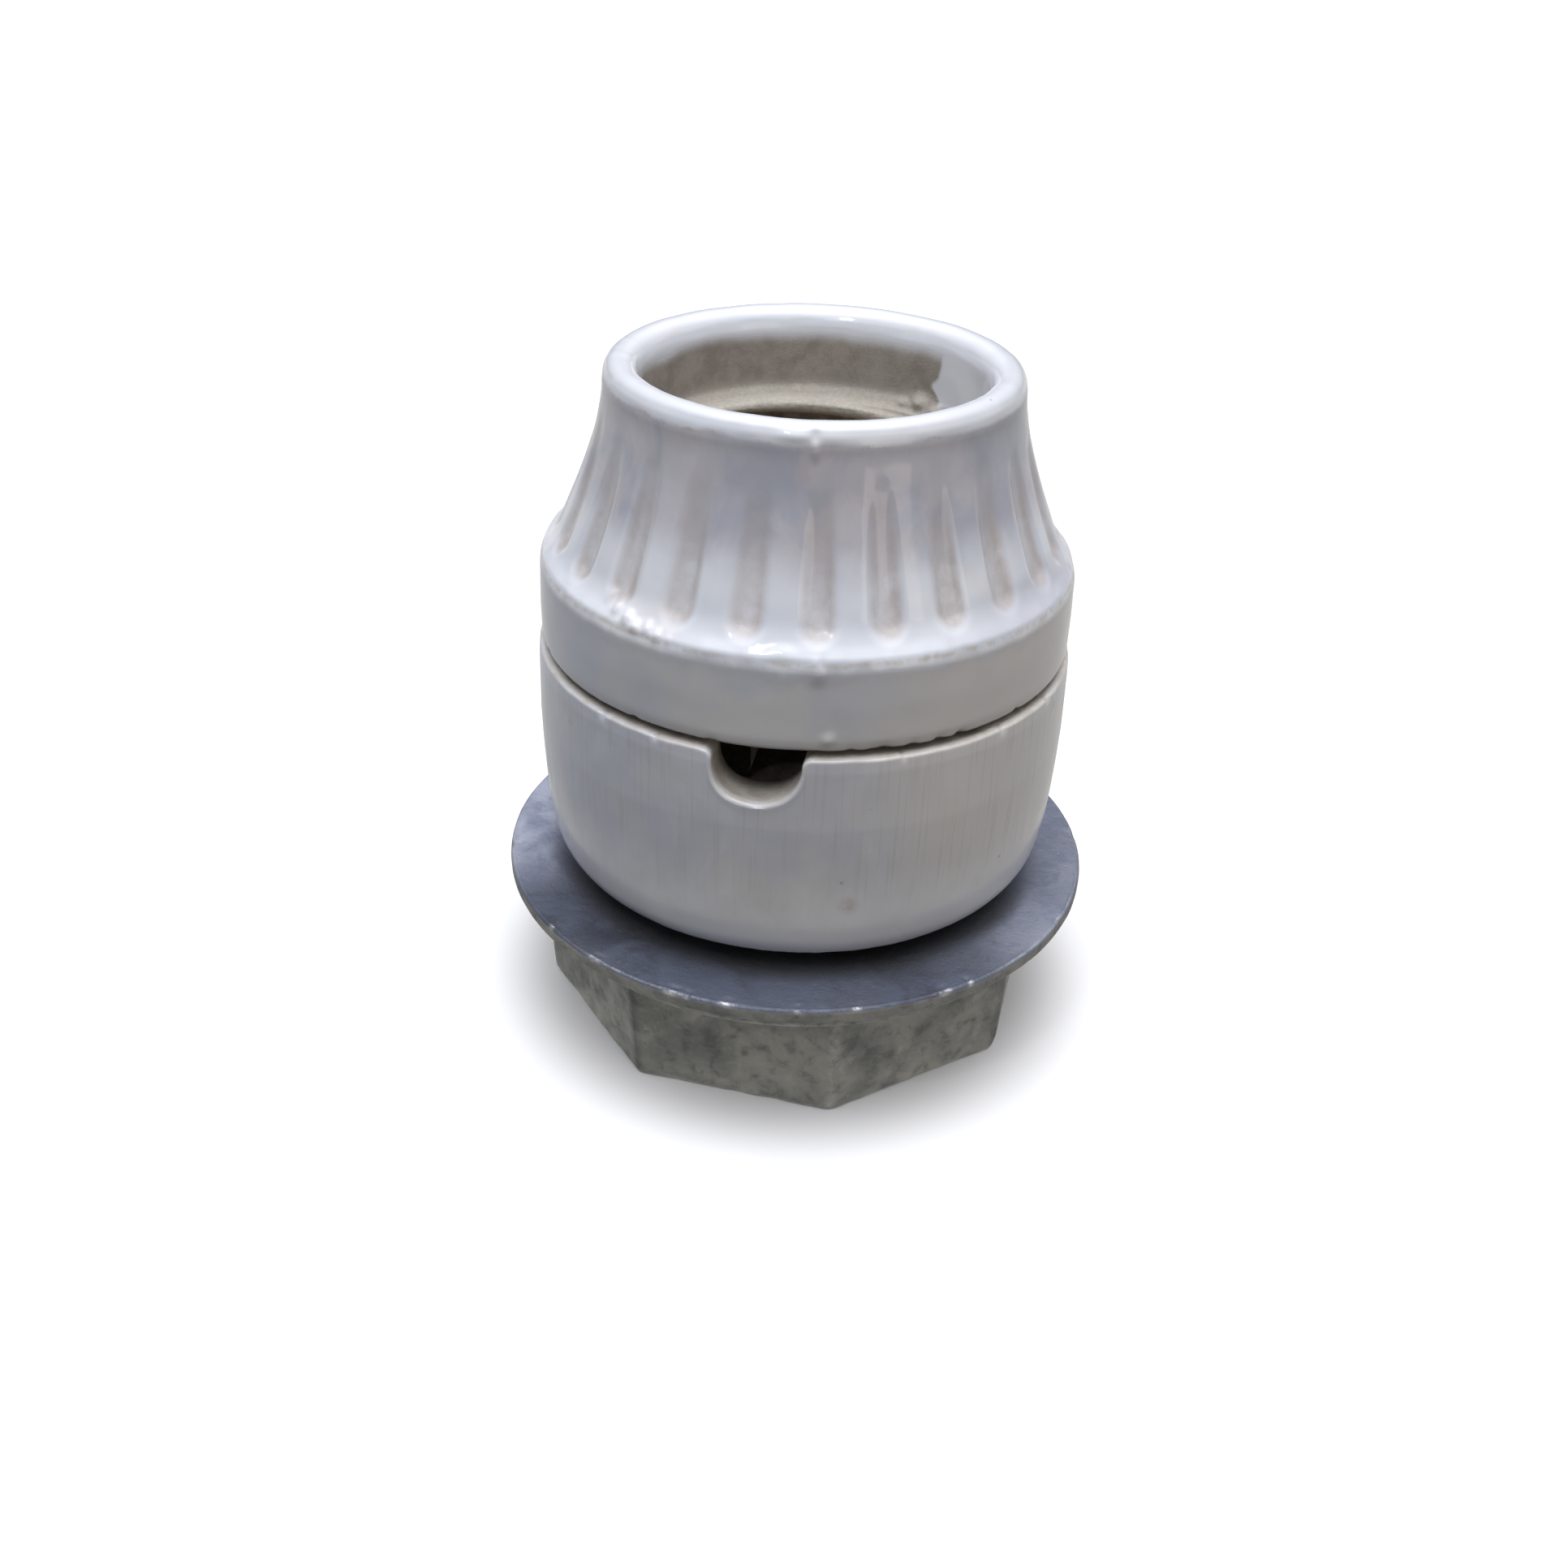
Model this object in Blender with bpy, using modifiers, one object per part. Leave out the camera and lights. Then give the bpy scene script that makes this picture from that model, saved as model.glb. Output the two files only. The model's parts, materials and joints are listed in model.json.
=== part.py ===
"""Two-part porcelain lampholder with a screw mouth, on a flanged octagonal metal base.

Frame: origin at the centre of the base's underside, +Z up towards the mouth,
the cable notch faces -Y.  Dimensions below are in millimetres.
"""
import bpy
import bmesh
import math
from mathutils import Matrix, Vector

MM = 0.001

# ------------------------------------------------------------------ dimensions
GAP = 0.3                       # clearance between pieces that touch

# octagonal base
OCT_R_BOTTOM = 24.0             # radius over the corners, at the bottom
OCT_R_TOP = 24.6                # slight casting draft
OCT_CORNER_DEG = 17.33          # angle of the first corner
OCT_HEIGHT = 12.6
OCT_EDGE = 0.85                 # rounding of the upright edges
STEP_R, STEP_Z = 25.7, 11.3     # shallow ring under the flange
FLANGE_R = 27.6
FLANGE_Z0, FLANGE_Z1 = 13.0, 14.48
PIPE_MAJOR_R = 16.62            # pipe thread, 1 inch size
PIPE_MINOR_R = 15.15
PIPE_PITCH = 2.309
PIPE_DEPTH = 10.9
WIRE_HOLE_R = 5.0

# fixing screws: two on a circle, one front left and one rear right
FIX_R, FIX_DEG = 10.5, 50.0
FIX_SHANK_R = 2.0
FIX_HEAD_R, FIX_HEAD_H = 3.5, 2.3
CLEAR_R = 2.3

# porcelain body
BODY_Z0, BODY_Z1 = 15.65, 36.6
BODY_FLOOR_Z = 19.65
BODY_LOW_R = 17.6               # wiring space
BODY_UP_R = 20.0                # seat of the insert
LEDGE_Z = 28.0
NOTCH_X, NOTCH_HALF_W = -0.35, 3.65
NOTCH_BOTTOM_Z = 32.25
NOTCH_POWER = 2.3               # 2 would be a half circle; higher is squarer

# contact insert
DECK_R, DECK_Z0, DECK_Z1 = 19.7, 28.3, 32.0
COLLAR_RI, COLLAR_RO, COLLAR_Z1 = 14.6, 17.3, 42.3
COLLAR_CREST_R = 18.7
CAP_PITCH = 3.0

# cap
CAP_Z0, CAP_Z1 = 36.9, 61.78
SKIRT_RI, CEILING_Z = 19.3, 43.4
SKIRT_CREST_R = 17.85
FLUTES = 24
FLUTE_DEG = 10.0                # centre of one flute, modulo 15 degrees
MOUTH_RI = 14.65
LAMP_ROOT_R, LAMP_CREST_R, LAMP_PITCH = 13.45, 12.3, 3.63

# terminals
TERM_X = 8.6
BLOCK = (5.8, 11.8, 4.2, 32.3, 36.3)    # inner x, outer x, half y, z0, z1
TSCREW_Y = -1.2
TSCREW_R, TSCREW_HEAD_R = 1.75, 2.6
BSCREW_Y, BSCREW_R = 2.5, 1.0


# --------------------------------------------------------------------- helpers
def wipe():
    for ob in list(bpy.data.objects):
        bpy.data.objects.remove(ob, do_unlink=True)
    for c in list(bpy.data.collections):
        bpy.data.collections.remove(c)


wipe()
PARTS = bpy.data.collections.new("lampholder")
CUTTERS = bpy.data.collections.new("cutters")
bpy.context.scene.collection.children.link(PARTS)
bpy.context.scene.collection.children.link(CUTTERS)


def material(name, rgb, rough, metal):
    m = bpy.data.materials.new(name)
    m.use_nodes = True
    b = m.node_tree.nodes["Principled BSDF"]
    b.inputs["Base Color"].default_value = (*rgb, 1.0)
    b.inputs["Roughness"].default_value = rough
    b.inputs["Metallic"].default_value = metal
    m.diffuse_color = (*rgb, 1.0)
    return m


GLAZED = material("glazed_porcelain", (0.62, 0.63, 0.67), 0.18, 0.0)
SATIN = material("body_porcelain", (0.42, 0.41, 0.41), 0.35, 0.0)
STEATITE = material("steatite", (0.60, 0.56, 0.49), 0.65, 0.0)
ZINC = material("cast_zinc", (0.20, 0.21, 0.22), 0.55, 0.9)
FIBRE = material("dark_fibre", (0.03, 0.03, 0.03), 0.9, 0.0)
RUBBER = material("seal_rubber", (0.05, 0.05, 0.05), 0.8, 0.0)
BRASS = material("brass", (0.55, 0.40, 0.16), 0.35, 1.0)
BRONZE = material("spring_bronze", (0.50, 0.30, 0.14), 0.35, 1.0)
STEEL = material("zinc_plated_steel", (0.45, 0.45, 0.46), 0.35, 1.0)


def finish_mesh(bm, name):
    """Scale the millimetre mesh to metres, face it outwards and store it."""
    bmesh.ops.remove_doubles(bm, verts=bm.verts[:], dist=0.002)
    bmesh.ops.recalc_face_normals(bm, faces=bm.faces[:])
    bmesh.ops.scale(bm, vec=(MM, MM, MM), verts=bm.verts[:])
    me = bpy.data.meshes.new(name)
    bm.to_mesh(me)
    bm.free()
    return me


def place(name, me, mat=None):
    ob = bpy.data.objects.new(name, me)
    if mat is None:
        CUTTERS.objects.link(ob)
        ob.hide_render = True
        ob.display_type = 'WIRE'
    else:
        PARTS.objects.link(ob)
        me.materials.clear()
        me.materials.append(mat)
    return ob


def bake(ob, mat=None):
    """Make the object's modifiers permanent."""
    dg = bpy.context.evaluated_depsgraph_get()
    me = bpy.data.meshes.new_from_object(ob.evaluated_get(dg), depsgraph=dg)
    ob.modifiers.clear()
    ob.data = me
    if mat is not None:
        me.materials.clear()
        me.materials.append(mat)
    return ob


def outward(me):
    bm = bmesh.new()
    bm.from_mesh(me)
    bmesh.ops.recalc_face_normals(bm, faces=bm.faces[:])
    bm.to_mesh(me)
    bm.free()


def turned(name, profile, seg, mat=None, closed=False, at=(0.0, 0.0), start_deg=0.0):
    """Turn a profile of (radius, height) points about Z with a Screw modifier."""
    me = bpy.data.meshes.new(name)
    pts = [(r * MM, 0.0, z * MM) for r, z in profile]
    edges = [(i, i + 1) for i in range(len(pts) - 1)]
    if closed:
        edges.append((len(pts) - 1, 0))
    me.from_pydata(pts, edges, [])
    ob = place(name, me, mat)
    sc = ob.modifiers.new("turn", 'SCREW')
    sc.axis = 'Z'
    sc.angle = 2.0 * math.pi
    sc.steps = seg
    sc.render_steps = seg
    sc.use_merge_vertices = True
    sc.merge_threshold = 0.000002
    bake(ob, mat)
    outward(ob.data)
    ob.data.transform(Matrix.Translation((at[0] * MM, at[1] * MM, 0.0))
                      @ Matrix.Rotation(math.radians(start_deg), 4, 'Z'))
    return ob


def rod(name, r, z0, z1, x=0.0, y=0.0, seg=16, mat=None, r_top=None, axis='Z'):
    """Cylinder (or cone) between two heights; with axis X or Y it lies down."""
    bm = bmesh.new()
    bmesh.ops.create_cone(bm, cap_ends=True, cap_tris=False, segments=seg,
                          radius1=r, radius2=r if r_top is None else r_top,
                          depth=z1 - z0)
    bmesh.ops.translate(bm, vec=(0, 0, 0.5 * (z0 + z1)), verts=bm.verts[:])
    if axis == 'X':
        bmesh.ops.rotate(bm, verts=bm.verts[:], cent=(0, 0, 0),
                         matrix=Matrix.Rotation(math.radians(90), 3, 'Y'))
    elif axis == 'Y':
        bmesh.ops.rotate(bm, verts=bm.verts[:], cent=(0, 0, 0),
                         matrix=Matrix.Rotation(math.radians(-90), 3, 'X'))
    if axis == 'Z':
        bmesh.ops.translate(bm, vec=(x, y, 0), verts=bm.verts[:])
    elif axis == 'X':
        bmesh.ops.translate(bm, vec=(0, x, y), verts=bm.verts[:])
    else:
        bmesh.ops.translate(bm, vec=(x, 0, y), verts=bm.verts[:])
    return place(name, finish_mesh(bm, name), mat)


def block(name, x0, x1, y0, y1, z0, z1, mat=None, edge=0.0):
    bm = bmesh.new()
    bmesh.ops.create_cube(bm, size=1.0)
    bmesh.ops.scale(bm, vec=(x1 - x0, y1 - y0, z1 - z0), verts=bm.verts[:])
    bmesh.ops.translate(bm, vec=(0.5 * (x0 + x1), 0.5 * (y0 + y1), 0.5 * (z0 + z1)),
                        verts=bm.verts[:])
    if edge:
        bmesh.ops.bevel(bm, geom=bm.edges[:], offset=edge, segments=1,
                        affect='EDGES', profile=0.5)
    return place(name, finish_mesh(bm, name), mat)


def prism(name, outline, low, high, axis, mat=None):
    """Extrude a flat outline: axis Z takes (x, y), Y takes (x, z), X takes (y, z)."""
    bm = bmesh.new()
    def lift(p, h):
        if axis == 'Z':
            return (p[0], p[1], h)
        if axis == 'Y':
            return (p[0], h, p[1])
        return (h, p[0], p[1])
    face = bm.faces.new([bm.verts.new(lift(p, low)) for p in outline])
    out = bmesh.ops.extrude_face_region(bm, geom=[face])
    new = [g for g in out["geom"] if isinstance(g, bmesh.types.BMVert)]
    d = high - low
    vec = {'Z': (0, 0, d), 'Y': (0, d, 0), 'X': (d, 0, 0)}[axis]
    bmesh.ops.translate(bm, vec=vec, verts=new)
    return place(name, finish_mesh(bm, name), mat)


def strip_outline(path, thick):
    """Closed outline of a bent strip whose middle follows the path."""
    left, right = [], []
    n = len(path)
    for i, p in enumerate(path):
        a = Vector(path[max(i - 1, 0)])
        b = Vector(path[min(i + 1, n - 1)])
        t = (b - a).normalized()
        nrm = Vector((-t.y, t.x)) * (0.5 * thick)
        left.append(tuple(Vector(p) + nrm))
        right.append(tuple(Vector(p) - nrm))
    return left + right[::-1]


def ridge(name, r_wall, r_crest, w_wall, w_crest, pitch, z_start, deg_start, turns,
          steps, sink=0.45, run_out=40.0):
    """Right-hand helical thread ridge that stands from r_wall to r_crest, its root
    sunk into the wall and both of its ends running out."""
    inward = r_crest < r_wall
    root = r_wall + sink if inward else r_wall - sink
    n = int(round(turns * steps))
    bm = bmesh.new()
    rings = []
    for i in range(n + 1):
        deg = 360.0 * i / steps
        total = 360.0 * n / steps
        k = min(1.0, deg / run_out, (total - deg) / run_out)
        k = 0.12 + 0.88 * math.sin(0.5 * math.pi * max(k, 0.0))
        a = math.radians(deg_start + deg)
        zc = z_start + pitch * deg / 360.0
        crest = r_wall + (r_crest - r_wall) * k
        mid = 0.5 * (crest + r_wall)
        sec = [(root, -0.5 * w_wall), (r_wall, -0.5 * w_wall), (crest, -0.5 * w_crest),
               (crest, 0.5 * w_crest), (r_wall, 0.5 * w_wall), (root, 0.5 * w_wall)]
        rings.append([bm.verts.new((r * math.cos(a), r * math.sin(a), zc + dz))
                      for r, dz in sec])
    m = len(rings[0])
    for i in range(n):
        for j in range(m):
            bm.faces.new((rings[i][j], rings[i][(j + 1) % m],
                          rings[i + 1][(j + 1) % m], rings[i + 1][j]))
    bm.faces.new(rings[0])
    bm.faces.new(rings[-1][::-1])
    return place(name, finish_mesh(bm, name))


def boolean(ob, tool, op):
    md = ob.modifiers.new(op.lower() + "_" + tool.name, 'BOOLEAN')
    md.operation = op
    md.solver = 'EXACT'
    md.object = tool


def cut(ob, *tools):
    for t in tools:
        boolean(ob, t, 'DIFFERENCE')


def weld(ob, *tools):
    for t in tools:
        boolean(ob, t, 'UNION')


def smooth(ob, deg=40.0):
    ob.data.shade_smooth()
    ob.data.set_sharp_from_angle(angle=math.radians(deg))


def polar(r, deg):
    return (r * math.cos(math.radians(deg)), r * math.sin(math.radians(deg)))


FIX_REAR = polar(FIX_R, FIX_DEG)
FIX_FRONT = polar(FIX_R, FIX_DEG + 180.0)


# ---------------------------------------------------------------- octagon base
def make_base():
    bm = bmesh.new()
    bmesh.ops.create_cone(bm, cap_ends=True, cap_tris=False, segments=8,
                          radius1=OCT_R_BOTTOM, radius2=OCT_R_TOP, depth=OCT_HEIGHT)
    bmesh.ops.translate(bm, vec=(0, 0, 0.5 * OCT_HEIGHT), verts=bm.verts[:])
    first = min((math.degrees(math.atan2(v.co.y, v.co.x)) % 45.0) for v in bm.verts)
    bmesh.ops.rotate(bm, verts=bm.verts[:], cent=(0, 0, 0),
                     matrix=Matrix.Rotation(math.radians(OCT_CORNER_DEG - first), 3, 'Z'))
    upright = [e for e in bm.edges if abs(e.verts[0].co.z - e.verts[1].co.z) > 1.0]
    bmesh.ops.bevel(bm, geom=upright, offset=OCT_EDGE, segments=2, affect='EDGES',
                    profile=0.5)
    low = [e for e in bm.edges if e.verts[0].co.z < 0.01 and e.verts[1].co.z < 0.01]
    bmesh.ops.bevel(bm, geom=low, offset=0.7, segments=2, affect='EDGES', profile=0.5)
    base = place("octagon_base", finish_mesh(bm, "octagon_base"), ZINC)

    z1, z0, r = FLANGE_Z1, FLANGE_Z0, FLANGE_R
    flange = turned("flange_disc", [(0, z1), (r - 0.28, z1), (r, z1 - 0.25),
                                    (r, z0 + 0.3), (r - 0.3, z0), (STEP_R, z0),
                                    (STEP_R, STEP_Z + 0.3), (STEP_R - 0.3, STEP_Z),
                                    (24.0, STEP_Z - 0.5), (0, STEP_Z - 0.5)],
                    56)
    weld(base, flange)
    bore = turned("pipe_bore", [(0, PIPE_DEPTH), (PIPE_MAJOR_R, PIPE_DEPTH),
                                (PIPE_MAJOR_R, 0.9), (PIPE_MAJOR_R + 0.9, -0.01),
                                (PIPE_MAJOR_R + 0.9, -1.0), (0, -1.0)], 48)
    cut(base, bore)
    cut(base, rod("web_wire_hole", WIRE_HOLE_R, 9.0, 16.0, seg=24))
    for tag, (x, y) in (("front", FIX_FRONT), ("rear", FIX_REAR)):
        cut(base, rod("web_fixing_" + tag, CLEAR_R, 9.0, 16.0, x, y, 16))
    thread = ridge("pipe_thread", PIPE_MAJOR_R, PIPE_MINOR_R, 1.9, 0.7, PIPE_PITCH,
                   1.7, 20.0, 3.4, 24)
    weld(base, thread)
    smooth(base, 30)
    return base


def make_base_gasket():
    z0, z1 = FLANGE_Z1 + GAP, BODY_Z0 - GAP
    g = turned("base_gasket", [(5.6, z1), (16.4, z1), (16.4, z0), (5.6, z0)], 36,
               FIBRE, closed=True)
    for tag, (x, y) in (("front", FIX_FRONT), ("rear", FIX_REAR)):
        cut(g, rod("gasket_hole_" + tag, CLEAR_R, z0 - 1, z1 + 1, x, y, 16))
    smooth(g)


# --------------------------------------------------------------- porcelain body
def make_body():
    z0, z1 = BODY_Z0, BODY_Z1
    prof = [(BODY_UP_R, z1), (23.35, z1), (23.8, z1 - 0.35), (23.93, z1 - 1.2),
            (24.0, 30.0), (24.0, 27.0), (23.72, 23.7), (23.4, 19.6), (22.95, 17.7),
            (22.0, 16.35), (20.5, z0), (WIRE_HOLE_R, z0), (WIRE_HOLE_R, BODY_FLOOR_Z),
            (BODY_LOW_R - 0.8, BODY_FLOOR_Z), (BODY_LOW_R, BODY_FLOOR_Z + 0.8),
            (BODY_LOW_R, LEDGE_Z), (BODY_UP_R, LEDGE_Z)]
    body = turned("porcelain_body", prof, 56, SATIN, closed=True)
    zc = NOTCH_BOTTOM_Z + NOTCH_HALF_W
    e = 2.0 / NOTCH_POWER
    u = []
    for a in range(180, 361, 15):
        c, s = math.cos(math.radians(a)), math.sin(math.radians(a))
        u.append((NOTCH_X + NOTCH_HALF_W * math.copysign(abs(c) ** e, c),
                  zc + NOTCH_HALF_W * math.copysign(abs(s) ** e, s)))
    u = [(u[0][0], z1 + 2)] + u + [(u[-1][0], z1 + 2)]
    cut(body, prism("cable_notch", u, -27.0, -17.0, 'Y'))
    for tag, (x, y) in (("front", FIX_FRONT), ("rear", FIX_REAR)):
        cut(body, rod("floor_hole_" + tag, CLEAR_R, z0 - 1, BODY_FLOOR_Z + 1, x, y, 16))
    smooth(body)


# --------------------------------------------------------------- contact insert
def make_insert():
    ins = turned("contact_insert", [(0, DECK_Z1), (COLLAR_RI, DECK_Z1),
                                    (COLLAR_RI, COLLAR_Z1), (COLLAR_RO, COLLAR_Z1),
                                    (COLLAR_RO, DECK_Z1), (DECK_R, DECK_Z1),
                                    (DECK_R, DECK_Z0), (0, DECK_Z0)], 48, STEATITE)
    male = ridge("collar_thread", COLLAR_RO, COLLAR_CREST_R, 1.5, 0.6, CAP_PITCH,
                 37.9, 0.0, 1.15, 24)
    weld(ins, male)
    cut(ins, block("cable_window", -5.5, 5.5, -21.0, -12.0, DECK_Z0 - 1, 37.0))
    cut(ins, block("wire_slot", -2.7, 5.0, -13.0, -7.4, DECK_Z0 - 1, DECK_Z1 + 0.5))
    for tag, (x, y) in (("front", FIX_FRONT), ("rear", FIX_REAR)):
        cut(ins, rod("deck_fixing_" + tag, CLEAR_R, DECK_Z0 - 1, DECK_Z1 + 1, x, y, 16))
    cut(ins, rod("deck_bracket_hole", 1.55, DECK_Z1 - 3.0, DECK_Z1 + 1, 0, 10.6, 12))
    for tag, s in (("live", -1), ("neutral", 1)):
        cut(ins, rod("deck_block_hole_" + tag, BSCREW_R + GAP, DECK_Z0 - 1, DECK_Z1 + 1,
                     s * TERM_X, BSCREW_Y, 12))
        cut(ins, rod("deck_counterbore_" + tag, 2.5, DECK_Z0 - 1, DECK_Z0 + 1.7,
                     s * TERM_X, BSCREW_Y, 16))
    smooth(ins, 30)


# ------------------------------------------------------------------------- cap
def make_cap():
    prof = [(16.4, CAP_Z1), (17.15, 61.55), (17.6, 60.95), (17.8, 60.2), (17.82, 59.2),
            (17.98, 58.0), (18.45, 55.75), (19.22, 53.2), (20.15, 50.7), (21.2, 48.2),
            (21.7, 47.1), (22.35, 46.05), (23.1, 45.15), (23.5, 44.2), (23.6, 41.0),
            (23.58, 37.9), (23.35, 37.15), (22.8, CAP_Z0), (SKIRT_RI, CAP_Z0),
            (SKIRT_RI, CEILING_Z), (14.3, CEILING_Z), (LAMP_ROOT_R, 44.2),
            (LAMP_ROOT_R, 53.6), (MOUTH_RI, 54.7), (MOUTH_RI, 60.0), (14.9, 60.75),
            (15.35, 61.3), (15.8, 61.65)]
    cap = turned("porcelain_cap", prof, FLUTES * 3, GLAZED, closed=True, start_deg=FLUTE_DEG)
    depth = {47.1: 0.7, 48.2: 0.85, 50.7: 0.6, 53.2: 0.15, 46.05: 0.1}
    for v in cap.data.vertices:
        r = math.hypot(v.co.x, v.co.y) / MM
        z = v.co.z / MM
        if r < 18.9:
            continue
        a = math.degrees(math.atan2(v.co.y, v.co.x)) - FLUTE_DEG
        off = (a + 7.5) % 15.0 - 7.5
        for zz, d in depth.items():
            if abs(z - zz) < 0.02 and abs(off) < 1.0:
                k = (r - d) / r
                v.co.x *= k
                v.co.y *= k
    lamp = ridge("lamp_thread", LAMP_ROOT_R, LAMP_CREST_R, 1.9, 0.7, LAMP_PITCH,
                 45.4, -683.0, 2.35, 24)
    weld(cap, lamp)
    female = ridge("skirt_thread", SKIRT_RI, SKIRT_CREST_R, 1.5, 0.6, CAP_PITCH,
                   38.2, 216.0, 1.2, 24)
    weld(cap, female)
    smooth(cap, 35)


def make_cap_gasket():
    z0, z1 = COLLAR_Z1 + GAP, CEILING_Z - GAP
    smooth(turned("cap_gasket", [(14.9, z1), (17.1, z1), (17.1, z0), (14.9, z0)], 36,
                  RUBBER, closed=True))


# ------------------------------------------------------------------- fasteners
def slotted_screw(name, x, y, z_tip, z_seat, shank_r, head_r, head_h, slot_w, slot_deg,
                  mat, seg=16):
    """Cheese-head screw standing upright, head up."""
    zt = z_seat + head_h
    s = turned(name, [(0, zt), (head_r - 0.35, zt), (head_r, zt - 0.35), (head_r, z_seat),
                      (shank_r, z_seat), (shank_r, z_tip + 0.4), (shank_r - 0.4, z_tip),
                      (0, z_tip)], seg, mat, at=(x, y))
    slot = block(name + "_slot", -head_r - 1, head_r + 1, -0.5 * slot_w, 0.5 * slot_w,
                 zt - 0.5 * head_h, zt + 1)
    slot.data.transform(Matrix.Translation((x * MM, y * MM, 0))
                        @ Matrix.Rotation(math.radians(slot_deg), 4, 'Z'))
    cut(s, slot)
    smooth(s, 30)
    return s


def spring_washer(name, x, y, z):
    """Split washer: a square section swept over most of a turn, its ends offset."""
    ri, ro, h, rise, n = FIX_SHANK_R + GAP, 3.7, 0.65, 0.18, 22
    bm = bmesh.new()
    rings = []
    for i in range(n + 1):
        a = math.radians(8.0 + 344.0 * i / n)
        z0 = z + rise * i / n
        rings.append([bm.verts.new((x + r * math.cos(a), y + r * math.sin(a), zz))
                      for r, zz in ((ri, z0), (ro, z0), (ro, z0 + h), (ri, z0 + h))])
    for i in range(n):
        for j in range(4):
            bm.faces.new((rings[i][j], rings[i][(j + 1) % 4],
                          rings[i + 1][(j + 1) % 4], rings[i + 1][j]))
    bm.faces.new(rings[0])
    bm.faces.new(rings[-1][::-1])
    smooth(place(name, finish_mesh(bm, name), STEEL), 30)


def make_fixings():
    for tag, (x, y), deg in (("front", FIX_FRONT, 25.0), ("rear", FIX_REAR, -40.0)):
        spring_washer("spring_washer_" + tag, x, y, DECK_Z1 + GAP)
        slotted_screw("fixing_screw_" + tag, x, y, 11.5, DECK_Z1 + 1.45, FIX_SHANK_R,
                      FIX_HEAD_R, FIX_HEAD_H, 1.0, deg, STEEL)


# ------------------------------------------------------------------- terminals
def make_terminals():
    xi, xo, hy, z0, z1 = BLOCK
    for tag, s in (("live", -1), ("neutral", 1)):
        a, b = sorted((s * xi, s * xo))
        blk = block("terminal_block_" + tag, a, b, -hy, hy, z0, z1, BRASS, 0.3)
        cut(blk, rod("block_tapping_" + tag, TSCREW_R + GAP, z0 - 1, z1 + 1,
                     s * TERM_X, TSCREW_Y, 16))
        cut(blk, rod("block_underhole_" + tag, BSCREW_R + GAP, z0 - 1, z0 + 2.8,
                     s * TERM_X, BSCREW_Y, 12))
        if tag == "neutral":
            cut(blk, rod("block_side_tapping", 1.15, 10.8, 13.0, 0.0, 34.2, 12, axis='X'))
        plate = block("clamp_plate_" + tag, s * TERM_X - 2.8, s * TERM_X + 2.8,
                      TSCREW_Y - 2.8, TSCREW_Y + 2.8, z1 + GAP, z1 + GAP + 0.8, BRASS, 0.15)
        cut(plate, rod("plate_hole_" + tag, TSCREW_R + GAP, z1 - 1, z1 + 3,
                       s * TERM_X, TSCREW_Y, 16))
        slotted_screw("terminal_screw_" + tag, s * TERM_X, TSCREW_Y, z0 + 0.4,
                      z1 + 2 * GAP + 0.8, TSCREW_R, TSCREW_HEAD_R, 1.8, 0.8,
                      30.0 if s < 0 else 75.0, BRASS)
        # holding screw, head down in the counterbore
        scr = turned("block_screw_" + tag,
                     [(0, z0 + 2.4), (BSCREW_R, z0 + 2.4), (BSCREW_R, DECK_Z0 + 1.4),
                      (2.1, DECK_Z0 + 1.4), (2.1, DECK_Z0 + 0.2), (0, DECK_Z0 + 0.2)],
                     14, STEEL, at=(s * TERM_X, BSCREW_Y))
        smooth(scr, 30)
        smooth(blk, 30)
        smooth(plate, 30)


def make_centre_contact():
    # bracket: a link along the deck from the live block, and an upright at the back
    z = DECK_Z1 + GAP
    foot = [(2.3, 8.9), (2.3, 13.1), (-2.3, 13.1), (-3.4, 11.9), (-8.2, 8.6), (-10.2, 6.4),
            (-10.2, 4.5), (-7.2, 4.5), (-7.2, 5.8), (-2.3, 8.9)]
    br = prism("centre_bracket", foot, z, z + 0.8, 'Z', BRASS)
    post = block("bracket_post", -2.3, 2.3, 12.35, 13.1, z + 0.3, 36.0)
    weld(br, post)
    cut(br, rod("bracket_hole", 1.55, z - 1, z + 2, 0, 10.6, 12))
    slotted_screw("bracket_screw", 0, 10.6, DECK_Z1 - 2.4, z + 0.8 + GAP, 1.25, 1.7, 1.1,
                  0.6, 10.0, STEEL, 14)
    path = [(13.0, 36.55), (11.5, 36.85), (9.0, 37.6), (6.0, 38.35), (3.0, 38.7),
            (0.0, 38.75), (-2.6, 38.55), (-3.4, 38.1)]
    leaf = prism("centre_contact_leaf", strip_outline(path, 0.5), -2.3, 2.3, 'X', BRONZE)
    cut(leaf, rod("leaf_hole", 1.2, 37.0, 40.0, 0, 0, 12))
    smooth(leaf, 30)
    button = turned("contact_button", [(0, 40.15), (0.9, 40.05), (1.7, 39.75), (2.1, 39.3),
                                       (0.9, 39.3), (0.9, 38.1), (0, 38.1)], 16, BRASS)
    smooth(button, 30)
    smooth(br, 30)


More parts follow.
